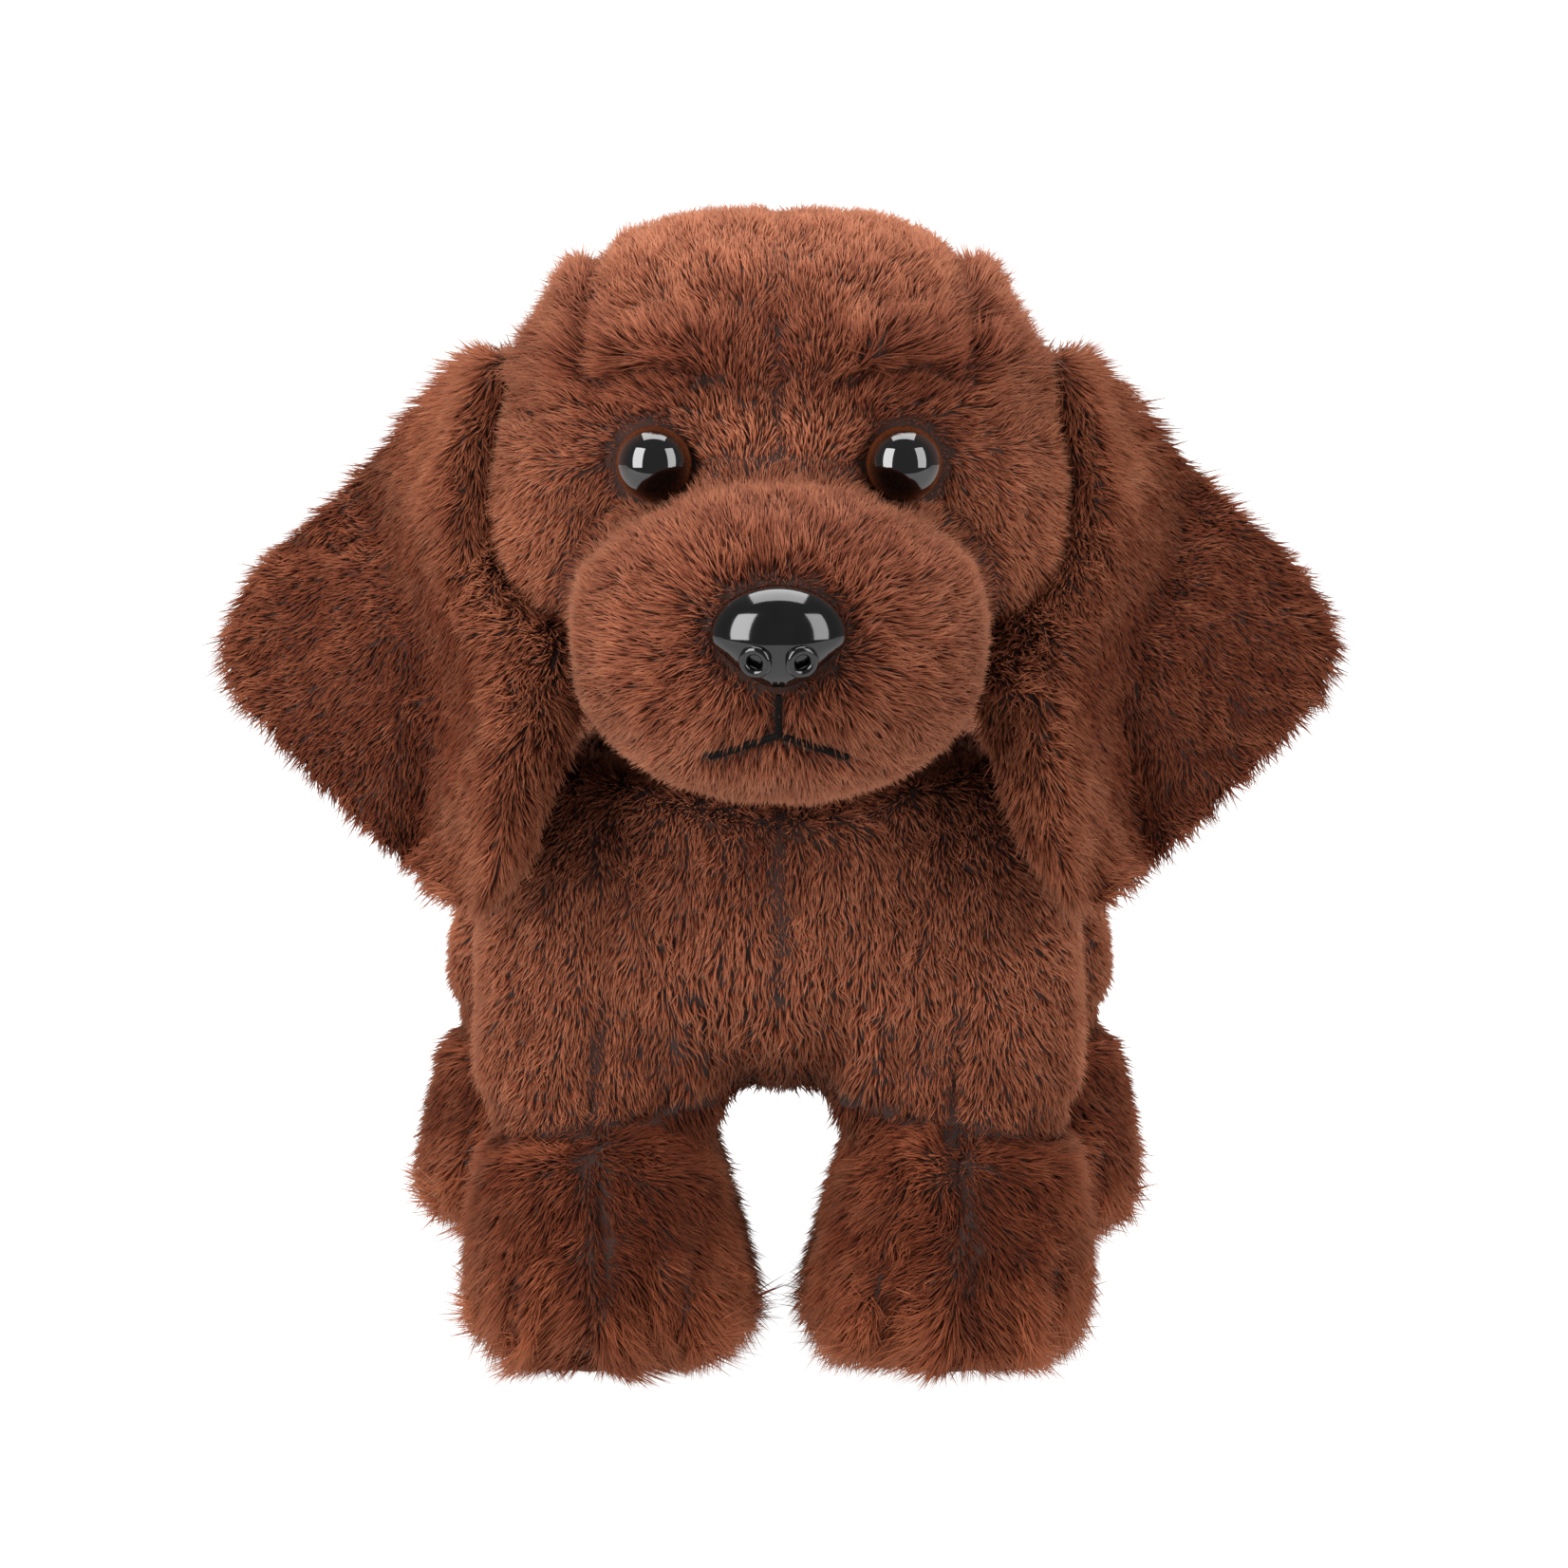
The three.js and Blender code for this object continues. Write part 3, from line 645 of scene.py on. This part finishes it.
bmesh.ops.create_cone(
    shape, cap_ends=True, segments=24, radius1=0.0022, radius2=0.0022, depth=0.016,
    matrix=Matrix.Translation(nose_at + Vector((0, 0.012, 0))) @ Matrix.Rotation(math.pi / 2, 4, "X"),
)
bmesh.ops.recalc_face_normals(shape, faces=shape.faces)
nose = finished(shape, "nose_moulding")


def moulded_material(name, colour, roughness, grain_mm):
    """Injection-moulded plastic: its skin is smooth, with a faint unevenness of grain_mm."""
    made, tree, shader = empty_material(name)
    place = add_node(tree, "ShaderNodeTexCoord")
    grain = add_node(
        tree, "ShaderNodeTexNoise", {"Scale": 1000.0 / grain_mm, "Detail": 3.0}, Vector=place.outputs["Object"]
    )
    tree.links.new(ramp(tree, grain.outputs["Fac"], [(0.3, colour[0]), (0.75, colour[1])]), shader.inputs["Base Color"])
    shader.inputs["Roughness"].default_value = roughness
    shader.inputs["IOR"].default_value = 1.52
    bump = add_node(tree, "ShaderNodeBump", {"Strength": 0.05, "Distance": 0.0002}, Height=grain.outputs["Fac"])
    tree.links.new(bump.outputs["Normal"], shader.inputs["Normal"])
    return made


nose.data.materials.append(moulded_material("ABS, gloss black", ("#030303", "#080707"), 0.09, 4))
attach(nose, "head")
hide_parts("nose")


# ---- Lock washers ---------------------------------------------------------------------------------
# Natural nylon rings inside the head, pressed onto the shanks of the eyes and the nose.

NYLON = moulded_material("nylon, natural", ("#cfcabd", "#e2ddd0"), 0.45, 1.5)
for node in ("eye_washer_left", "eye_washer_right", "nose_washer"):
    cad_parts[node].data.materials.clear()
    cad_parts[node].data.materials.append(NYLON)


# ---- Mouth ----------------------------------------------------------------------------------------
# Satin stitch in black rayon thread: short parallel threads laid across the line of the mouth.

head_surface = BVHTree.FromObject(head, bpy.context.evaluated_depsgraph_get())
STITCH_PITCH = 0.00042
STITCH_WIDTH = 0.0014
THREAD_RADIUS = 0.00027
shape = bmesh.new()
for a, b in MOUTH:
    start, end = Vector((a[0], 0, a[1])), Vector((b[0], 0, b[1]))
    line = (end - start).normalized()
    sideways = Vector((line.z, 0, -line.x))
    count = int((end - start).length / STITCH_PITCH)
    for i in range(count + 1):
        at = start.lerp(end, i / count)
        hit = head_surface.ray_cast(Vector((at.x, nose_low.y - 0.05, at.z)), Vector((0, 1, 0)))
        lie = (sideways + 0.25 * line).normalized()
        turn = lie.to_track_quat("Z", "Y").to_matrix().to_4x4()
        middle = hit[0] + hit[1] * 0.0019
        made = bmesh.ops.create_uvsphere(
            shape, u_segments=6, v_segments=6, radius=1.0,
            matrix=Matrix.Translation(middle) @ turn @ Matrix.Diagonal((THREAD_RADIUS, THREAD_RADIUS * 2.4, STITCH_WIDTH / 2, 1)),
        )
mouth = finished(shape, "mouth_stitches")


def thread_material():
    """Rayon embroidery thread: black and silky, with a twist of about half a millimetre."""
    made, tree, shader = empty_material("rayon thread, black")
    place = add_node(tree, "ShaderNodeTexCoord")
    twist = add_node(tree, "ShaderNodeTexWave", {"Scale": 900.0, "Distortion": 2.0}, Vector=place.outputs["Object"])
    tree.links.new(ramp(tree, twist.outputs["Fac"], [(0.2, "#040302"), (0.9, "#0c0806")]), shader.inputs["Base Color"])
    shader.inputs["Roughness"].default_value = 0.6
    shader.inputs["Specular IOR Level"].default_value = 0.06
    return made


mouth.data.materials.append(thread_material())
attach(mouth, "head")
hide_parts("mouth_embroidery")


# ---- Body and legs --------------------------------------------------------------------------------
# Two side panels that meet down the chest and along the back, a belly panel between the legs, and four
# leg tubes sewn into them. Below its cuff seam each leg ends in a paw of longer pile, gathered into toes.

LIMBS = [(end, side) for end in ("fore", "hind") for side in SIDE]
torso_nodes = ["body_side_left", "body_side_right", "belly", "body_filling"]
torso_nodes += [f"{end}_{part}_{side}" for end, side in LIMBS for part in ("leg", "paw", "leg_filling")]
torso = joined_copy("torso_skin", torso_nodes + [f"{end}_sole_{side}" for end, side in LIMBS])
remeshed(torso, voxel=0.0034, rounds=12)
side_low, side_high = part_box("body_side_left")
belly_low, belly_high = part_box("belly")


def limb_facts(end, side):
    leg_low, leg_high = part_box(f"{end}_leg_{side}")
    paw_low, paw_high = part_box(f"{end}_paw_{side}")
    return {
        "end": end,
        "x": (paw_low.x + paw_high.x) / 2,
        "y": (paw_low.y + paw_high.y) / 2,
        "front": paw_low.y,
        "back": paw_high.y,
        "half": (paw_high.x - paw_low.x) / 2,
        "cuff": leg_low.z,
        "tube": (leg_high.x - leg_low.x) / 2 if end == "fore" else 0.0235,
    }


LIMB = {limb: limb_facts(*limb) for limb in LIMBS}


def limb_share(f, p):
    """1 on one leg, fading to 0 on the body and on the other legs."""
    reach = 0.012
    inside = np.clip((f["half"] + 0.006 - np.abs(p[:, 0] - f["x"])) / 0.004, 0, 1)
    lengthwise = np.clip((min(f["back"] + 0.012, 1) - p[:, 1]) / 0.004, 0, 1) * np.clip((p[:, 1] - f["front"] + 0.02) / 0.004, 0, 1)
    top = belly_low.z + reach + 0.35 * (np.abs(p[:, 0]) - abs(f["x"]) + f["half"])
    return inside * lengthwise * np.clip((top - p[:, 2]) / 0.01, 0, 1)


def cuff_line(f, p):
    """The height of the cuff seam, which is lower on the leg's outer side."""
    return f["cuff"] + 0.001 - 0.17 * (np.abs(p[:, 0]) - abs(f["x"]))


def shaped_limb(points, f):
    """Keeps a leg from pinching in above its cuff, and pushes the toes forward."""
    share = limb_share(f, points)
    middle = np.array((f["x"], f["y"] + 0.008))
    flat = (points[:, :2] - middle) / (f["tube"], 0.026)
    spread = (np.abs(flat) ** 3).sum(1) ** (1 / 3)
    level = near(points[:, 2] - f["cuff"] - 0.012, 0.017)
    grow = 1 + share * level * np.clip(1 / np.maximum(spread, 0.4) - 1, 0, 0.35)
    points[:, :2] = (points[:, :2] - middle) * grow[:, None] + middle
    low = np.clip((0.034 - points[:, 2]) / 0.02, 0, 1) * share
    ahead = np.clip((f["y"] - 0.012 - points[:, 1]) / 0.012, 0, 1)
    place = (points[:, 0] - f["x"]) / f["half"]
    toe = np.abs(np.cos(place * 1.75 * math.pi))
    points[:, 1] -= low * ahead * (0.002 + 0.0075 * toe)
    narrow = np.clip((points[:, 2] - 0.018) / 0.02, 0, 1) * (points[:, 2] < f["cuff"] + 0.004) * share
    inward = -math.copysign(1, f["x"]) * 0.0022 * low * (f["end"] == "fore")
    points[:, 0] = f["x"] + (points[:, 0] - f["x"]) * (1 - 0.07 * narrow + 0.05 * low) + inward
    return points


def limb_seams(f, p):
    """One leg's seams: up the front of its tube, round the cuff, down the paw and between the toes."""
    cuff = cuff_line(f, p)
    front = p[:, 1] < f["y"] + 0.002
    place = p[:, 0] - f["x"] - 0.0015 * np.sin((p[:, 2] - 0.01) * 110)
    centre = near(place, 0.0015) * front * (p[:, 2] < cuff + 0.03)
    ring = near(p[:, 2] - cuff, 0.0016)
    toes = sum(
        near(place - k * f["half"] * 0.56, 0.002) * np.clip((0.03 - p[:, 2]) / 0.008, 0, 1) for k in (-1, 1)
    )
    toes = toes * (p[:, 1] < f["y"] - 0.01) * (p[:, 2] > 0.004)
    return np.clip(0.75 * ring + 0.85 * centre + toes, 0, 1) * limb_share(f, p)


def torso_seams(p):
    chest = near(p[:, 0], 0.0019) * (p[:, 2] > belly_high.z - 0.008)
    belly_edge = near(np.abs(p[:, 0]) - belly_high.x, 0.0022) * (p[:, 2] < belly_high.z - 0.01)
    limbs = sum(limb_seams(f, p) for f in LIMB.values())
    return np.clip(0.9 * chest + 0.3 * belly_edge * (p[:, 2] > 0.052) + limbs, 0, 1)


def hung_belly(points):
    """The belly hangs round between the fore legs, and a soft fold runs up each side of the chest."""
    ahead = np.clip((side_low.y + 0.075 - points[:, 1]) / 0.02, 0, 1)
    points[:, 2] -= 0.0075 * near(points[:, 0], 0.02) * near(points[:, 2] - belly_low.z + 0.001, 0.012) * ahead
    across = np.abs(points[:, 0])
    fold = 0.024 + 0.5 * np.clip(points[:, 2] - 0.058, 0, 1)
    height = np.clip((points[:, 2] - 0.052) / 0.01, 0, 1) * np.clip((0.098 - points[:, 2]) / 0.03, 0, 1)
    front = np.clip((side_low.y + 0.024 - points[:, 1]) / 0.01, 0, 1)
    points[:, 1] += 0.0038 * near(across - fold, 0.0048) * height * front
    points[:, 1] -= 0.0042 * near(points[:, 0], 0.021) * near(points[:, 2] - 0.074, 0.018) * front
    return points


shaped = points_of(torso.data)
for f in LIMB.values():
    shaped = shaped_limb(shaped, f)
set_points(torso.data, hung_belly(shaped))
swollen(torso, torso_seams)
sunk(torso, torso_seams, inset=0.002, groove=0.0024)
standing = points_of(torso.data)
standing[:, 2] = np.maximum(standing[:, 2], 0.0012)
set_points(torso.data, standing)
torso.data.materials.append(BACKING)
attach(torso, "torso")
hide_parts(*torso_nodes)


def paw_share(p):
    """1 on the paws, below their cuff seams."""
    return sum((p[:, 2] < cuff_line(f, p)) * limb_share(f, p) for f in LIMB.values())


def torso_nap(p):
    """Down the chest and the legs, back and down along the sides, and fanning out over the toes."""
    back = np.clip((p[:, 1] - side_low.y - 0.03) / 0.05, 0, 1)
    top = np.clip((p[:, 2] - side_high.z + 0.02) / 0.015, 0, 1)
    way = np.stack([p[:, 0] * 4, back + 0.02, -(1 - 0.6 * back) * (1 - top)], 1)
    for f in LIMB.values():
        share = limb_share(f, p)[:, None]
        down = np.stack([(p[:, 0] - f["x"]) * 3, np.zeros(len(p)), -np.ones(len(p))], 1)
        low = np.clip((f["cuff"] - p[:, 2]) / 0.03, 0, 1)
        apart = p[:, 0] - f["x"]
        parted = 0.75 * np.tanh(apart / 0.003) * near(apart, 0.013) + apart * 24 * low
        fan = np.stack([parted, (p[:, 1] - f["y"]) * 8 * low, np.full(len(p), -0.8)], 1)
        on_paw = (p[:, 2] < cuff_line(f, p))[:, None]
        way = way * (1 - share) + np.where(on_paw, fan, down) * share
    return way


def torso_tone_and_painted_shading(p):
    """Paler low on the chest, partly painted light, and down the legs; darker under the chin, a painted shadow, and on
    the paws down to the toes.
    """
    # Painted light low on the chest, where the belly curves under, partly its own paler pile, and a painted shadow
    # under the chin.
    low = near(p[:, 2] - belly_low.z - 0.014, 0.021) * (1 - paw_share(p))
    painted_chin_shadow = np.clip((p[:, 2] - 0.098) / 0.02, 0, 1) * np.clip((side_low.y + 0.03 - p[:, 1]) / 0.01, 0, 1)
    tone = 1.9 * low - 0.6 * painted_chin_shadow
    for f in LIMB.values():
        share = limb_share(f, p)
        toes = np.clip((0.030 - p[:, 2]) / 0.016, 0, 1)
        outer = np.clip((np.abs(p[:, 0]) - abs(f["x"])) / f["half"], -1, 1)
        lock = wave(p * (1, 1, 0.45), 0.0045, 67)
        paw = -1.35 + 2.5 * toes + 0.25 * outer + 0.65 * lock - 0.5 * near(p[:, 0] - f["x"], 0.005)
        tube = 0.55 + 0.3 * outer
        tone = tone * (1 - share) + np.where(p[:, 2] < cuff_line(f, p), paw, tube) * share
    return tone + 0.6 * wave(p, 0.019, 61)


def torso_long(p):
    """The toes' pile is brushed out."""
    toes = np.clip((0.024 - p[:, 2]) / 0.014, 0, 1) * (1 + 0.35 * wave(p, 0.005, 77))
    return 0.75 * toes * paw_share(p)


def belly_part(p, n):
    return (np.abs(p[:, 0]) < belly_high.x) & (p[:, 2] < belly_high.z) & (p[:, 2] > 0.052)


def limb_part(f):
    return lambda p, n: (limb_share(f, p) > 0.5) & (p[:, 2] > 0.003) & ~belly_part(p, n)


chest_style = dict(
    density=3.0, length=0.0036, width=0.0005, lean=58, nap=torso_nap, tone=torso_tone_and_painted_shading,
    short=lambda p: 0.8 * torso_seams(p),
)
body_style = dict(chest_style, density=1.35, length=0.0042, width=0.0007)
tube_style = dict(chest_style, density=2.9)
paw_style = dict(chest_style, density=3.0, length=0.0052, width=0.00056, long=torso_long, clump=0.0035)


def on_body(p):
    return sum(limb_share(f, p) for f in LIMB.values()) <= 0.5


def side_part(sign, chest):
    """One side of the body above the belly panel: its chest, or the rest of it."""

    def part(p, n):
        ahead = p[:, 1] < side_low.y + 0.042
        return on_body(p) & (sign * p[:, 0] >= 0) & ~belly_part(p, n) & (ahead == chest)

    return part


TORSO_PILES = [
    ("chest_pile_left", PILE, chest_style, side_part(1, True)),
    ("chest_pile_right", PILE, chest_style, side_part(-1, True)),
    ("body_pile_left", PILE, body_style, side_part(1, False)),
    ("body_pile_right", PILE, body_style, side_part(-1, False)),
    ("belly_pile", PILE, dict(body_style, density=1.2), belly_part),
]
for (end, side), f in LIMB.items():
    on_limb = limb_part(f)
    style = tube_style if end == "fore" else dict(tube_style, density=1.8, width=0.00064)
    TORSO_PILES.append((
        f"{end}_leg_pile_{side}", PILE, style,
        lambda p, n, f=f, on_limb=on_limb: on_limb(p, n) & (p[:, 2] >= cuff_line(f, p)),
    ))
    style = paw_style if end == "fore" else dict(paw_style, density=1.7, width=0.00072)
    TORSO_PILES.append((
        f"{end}_paw_pile_{side}", LONG_PILE, style,
        lambda p, n, f=f, on_limb=on_limb: on_limb(p, n) & (p[:, 2] < cuff_line(f, p)),
    ))
for seed, (name, material, style, part) in enumerate(TORSO_PILES):
    pile = grow_pile(name, torso, material, style, 500 + 20 * seed, part)
    points = points_of(pile.data)
    points[:, 2] = np.maximum(points[:, 2], 0.0003)
    set_points(pile.data, points)
    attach(pile, "torso")


# ---- Soles ----------------------------------------------------------------------------------------
# Flat ovals of brushed suede cloth, sewn round their edge into the paws.

suede = backing_material("brushed suede cloth", "#4a2a1c", "#6b4130")
for end, side in LIMBS:
    sole = joined_copy(f"{end}_sole_pad_{side}", [f"{end}_sole_{side}"])
    remeshed(sole, voxel=0.0012, rounds=2)
    sole.data.materials.append(suede)
    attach(sole, "torso")
    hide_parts(f"{end}_sole_{side}")


# ---- Neck -----------------------------------------------------------------------------------------
# A stuffed collar of the same pile cloth that joins the head to the shoulders and lets the head turn.

NECK_FRONT = 0.72  # the collar is pressed flatter under the chin, which leaves the head room to nod
neck_low, neck_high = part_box("neck_filling")
neck_at = (neck_low + neck_high) / 2
shape = bmesh.new()
bmesh.ops.create_uvsphere(shape, u_segments=48, v_segments=24, radius=1.0)
bmesh.ops.scale(shape, verts=[v for v in shape.verts if v.co.y < 0], vec=(1, NECK_FRONT, 1))
bmesh.ops.scale(shape, verts=shape.verts, vec=(0.040, 0.040, 0.029))
bmesh.ops.translate(shape, verts=shape.verts, vec=neck_at)
neck = finished(shape, "neck_skin")
neck.data.materials.append(BACKING)
neck_style = dict(
    density=1.1, length=0.0042, width=0.0007, lean=56,
    nap=lambda p: np.tile((0.0, 0.35, -1.0), (len(p), 1)),
    short=lambda p: np.clip((neck_at.y - 0.006 - p[:, 1]) / 0.008, 0, 1),
    tone=lambda p: 0.3 * wave(p, 0.015, 95) - 0.25,
)
neck_pile = grow_pile(
    "neck_pile", neck, PILE, neck_style, 950,
    lambda p, n: np.abs(p[:, 2] - neck_at.z) < 0.026,
)
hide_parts("neck_filling")
for piece in (neck, neck_pile):
    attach(piece, "neck")


# ---- Ears -----------------------------------------------------------------------------------------
# Two layers of pile cloth sewn face to face and turned, with no filling. The ear is pleated into the
# side of the head, so it rolls forward there and its free end flares out and back.

EAR_PILE = pile_material("polyester pile, ear", "#180703", "#471a0c", "#834127", "#bd7c5c")
LINING_PILE = pile_material("polyester pile, ear lining", "#180904", "#381a0e", "#633524", "#8a5a45")


def edges_of(points, levels=24):
    """Heights down an ear, and how far its inner and outer edges are from the middle plane at each."""
    heights = np.linspace(points[:, 2].min(), points[:, 2].max(), levels)
    step = heights[1] - heights[0]
    across = np.abs(points[:, 0])
    bands = [across[np.abs(points[:, 2] - z) < step * 0.8] for z in heights]
    return heights, np.array([b.min() for b in bands]), np.array([b.max() for b in bands])


def ear_cloth(name, node, sign):
    """The CAD layer as a smooth sheet that hugs the head, rolls forward beside it and lies flat beyond."""
    cloth = joined_copy(name, [node])
    finer = cloth.modifiers.new("finer", "SUBSURF")
    finer.levels = finer.render_levels = 2
    apply_modifiers(cloth)
    points = points_of(cloth.data)
    heights, inner, outer = edges_of(points)
    z = points[:, 2]
    depth = np.abs(points[:, 0]) - np.interp(z, heights, inner)
    width = np.maximum(np.interp(z, heights, outer) - np.interp(z, heights, inner), 0.004)
    share = np.clip(depth / width, 0, 1)
    hug = 0.0075 * near(z - 0.168, 0.028) + 0.0045 * near(z - 0.203, 0.014) + 0.0105 * near(z - 0.141, 0.018)
    points[:, 0] -= sign * hug * (1 - share) ** 1.5
    beside = near(z - 0.17, 0.024)
    points[:, 1] += 0.0095 * beside * (1 - share)
    points[:, 2] += 0.006 * np.clip((0.13 - z) / 0.04, 0, 1)
    hangs = np.clip((0.196 - z) / 0.02, 0, 1)
    roll = near(depth - 0.008, 0.009)
    crease = near(depth - 0.023, 0.0055)
    plane = np.clip((depth - 0.026) / 0.01, 0, 1)
    ripple = np.sin((z - 0.1) * 105 + depth * 40) * np.clip(depth / 0.03, 0, 1)
    points[:, 1] += hangs * (-0.0055 * roll + 0.0075 * crease + 0.0015 * plane + 0.0014 * ripple)
    set_points(cloth.data, points)
    return cloth, edges_of(points)


def ear_style(sign, edges, low, high, front):
    heights, inner, outer = edges

    def depth(p):
        return np.abs(p[:, 0]) - np.interp(p[:, 2], heights, inner)

    def from_edge(p):
        side_edge = np.interp(p[:, 2], heights, outer) - np.abs(p[:, 0])
        return np.minimum(side_edge, p[:, 2] - low.z)

    def nap(p):
        fan = unit(p - np.array([sign * 0.05, -0.06, high.z]))
        roll = np.clip((0.026 - depth(p)) / 0.008, 0, 1)[:, None]
        slant = np.array([sign * 0.45, 0.0, -1.0])
        return fan * (1 - roll) + slant * roll

    def tone(p):
        d = depth(p)
        # Painted light and shade on the ear's front: the roll paler where it faces the light, the crease behind it and
        # the flat part beyond darker, in the roll's shadow.
        roll = near(d - 0.01, 0.009)
        painted_crease_shade = near(d - 0.024, 0.006)
        rim = near(from_edge(p), 0.008)
        return (1.5 * roll - 0.8 * painted_crease_shade + 0.4 * rim - 1.4 if front else -0.3) + 0.35 * wave(p, 0.012, 81)

    def long(p):
        roll = near(depth(p) - 0.008, 0.01)
        return 0.5 * roll + 0.7 * near(from_edge(p), 0.006)

    return dict(
        density=3.4 if front else 1.6, length=0.0034, width=0.00052 if front else 0.0007, lean=54, nap=nap,
        short=lambda p: np.zeros(len(p)), tone=tone, long=long,
    )


for side, sign in SIDE.items():
    low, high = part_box(f"ear_{side}")
    for part, node, material, slot in (
        ("ear_cloth", f"ear_{side}", EAR_PILE, "ear_pile"),
        ("ear_lining_cloth", f"ear_lining_{side}", LINING_PILE, "lining_pile"),
    ):
        front = part == "ear_cloth"
        cloth, edges = ear_cloth(f"{part}_{side}", node, sign)
        cloth.data.materials.append(BACKING)
        facing = -1 if front else 1
        style = ear_style(sign, edges, low, high, front)
        pile = grow_pile(
            f"{part.replace('cloth', 'pile')}_{side}", cloth, material, style, 960 if front else 970,
            lambda p, n, facing=facing: facing * n[:, 1] + facing * -sign * n[:, 0] * 0.4 > -0.25,
        )
        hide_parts(node)
        for piece in (cloth, pile):
            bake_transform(piece)
    

# ---- Tail -----------------------------------------------------------------------------------------
# A small tapered tube of the same pile cloth, lightly stuffed and sewn into the rump.

tail = joined_copy("tail_skin", ["tail", "tail_filling"])
remeshed(tail, voxel=0.0018, rounds=6)
tail_low, tail_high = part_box("tail")
sunk(tail, lambda p: np.zeros(len(p)), inset=0.0012)
TAIL_ROOT = 0.008  # how far the root is sewn into the rump
points = points_of(tail.data)
points[:, 1] -= TAIL_ROOT * np.clip((tail_low.y + 0.012 - points[:, 1]) / 0.012, 0, 1)
set_points(tail.data, points)
tail.data.materials.append(BACKING)
tail_style = dict(
    density=1.8, length=0.0042, width=0.0007, lean=58,
    nap=lambda p: np.tile((0.0, 1.0, -0.7), (len(p), 1)), short=lambda p: np.zeros(len(p)),
    tone=lambda p: 0.2 * wave(p, 0.012, 91),
)
tail_pile = grow_pile("tail_pile", tail, PILE, tail_style, 980)
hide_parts("tail", "tail_filling")
for piece in (tail, tail_pile):
    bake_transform(piece)


# ---- Camera, lights and floor -----------------------------------------------------------------------
# A long lens a metre away, just above the head's top, between two large softboxes on a white table.

camera = bpy.data.objects.new("camera", bpy.data.cameras.new("camera"))
bpy.context.scene.collection.objects.link(camera)
camera.data.sensor_width = 36.0
camera.data.lens = 108.2
camera.location = (0.001, -1.021, 0.222)
camera.rotation_euler = (math.radians(90 - 6.33), 0, 0)
bpy.context.scene.camera = camera
camera.data.clip_start = 0.05
camera.data.clip_end = 20

world = bpy.data.worlds.new("studio")
world.use_nodes = True
world.node_tree.nodes["Background"].inputs["Color"].default_value = (1, 1, 1, 1)
world.node_tree.nodes["Background"].inputs["Strength"].default_value = 0.28
bpy.context.scene.world = world
bpy.context.scene.view_settings.view_transform = "Standard"


def softbox(name, place, aim, size, power):
    light = bpy.data.lights.new(name, "AREA")
    light.shape = "RECTANGLE"
    light.size, light.size_y = size
    light.energy = power
    lamp = bpy.data.objects.new(name, light)
    lamp.location = place
    lamp.rotation_euler = (Vector(aim) - Vector(place)).to_track_quat("-Z", "Y").to_euler()
    bpy.context.scene.collection.objects.link(lamp)


softbox("softbox_left", (-0.6, -0.72, 0.42), (0, 0, 0.14), (0.45, 0.8), 12)
softbox("softbox_right", (0.66, -0.66, 0.42), (0, 0, 0.14), (0.4, 0.8), 6.5)
softbox("softbox_top", (0, 0.0, 0.95), (0, 0, 0.1), (0.7, 0.7), 10)


def white_card(name, size, place, tilt):
    """A sheet of white paper lit from behind, so it has no shadows."""
    shape = bmesh.new()
    bmesh.ops.create_grid(shape, x_segments=1, y_segments=1, size=size)
    bmesh.ops.rotate(shape, verts=shape.verts, matrix=Matrix.Rotation(tilt, 3, "X"))
    bmesh.ops.translate(shape, verts=shape.verts, vec=place)
    card = finished(shape, name)
    card.data.materials.append(paper)


paper, tree, shader = empty_material("white paper, lit through")
shader.inputs["Base Color"].default_value = (0.2, 0.2, 0.2, 1)
shader.inputs["Roughness"].default_value = 0.9
shader.inputs["Emission Color"].default_value = (1, 1, 1, 1)
shader.inputs["Emission Strength"].default_value = 1.0
white_card("floor", 3.0, (0, 2.5, 0), 0)
white_card("backdrop", 3.0, (0, 2.9, 0), math.pi / 2)
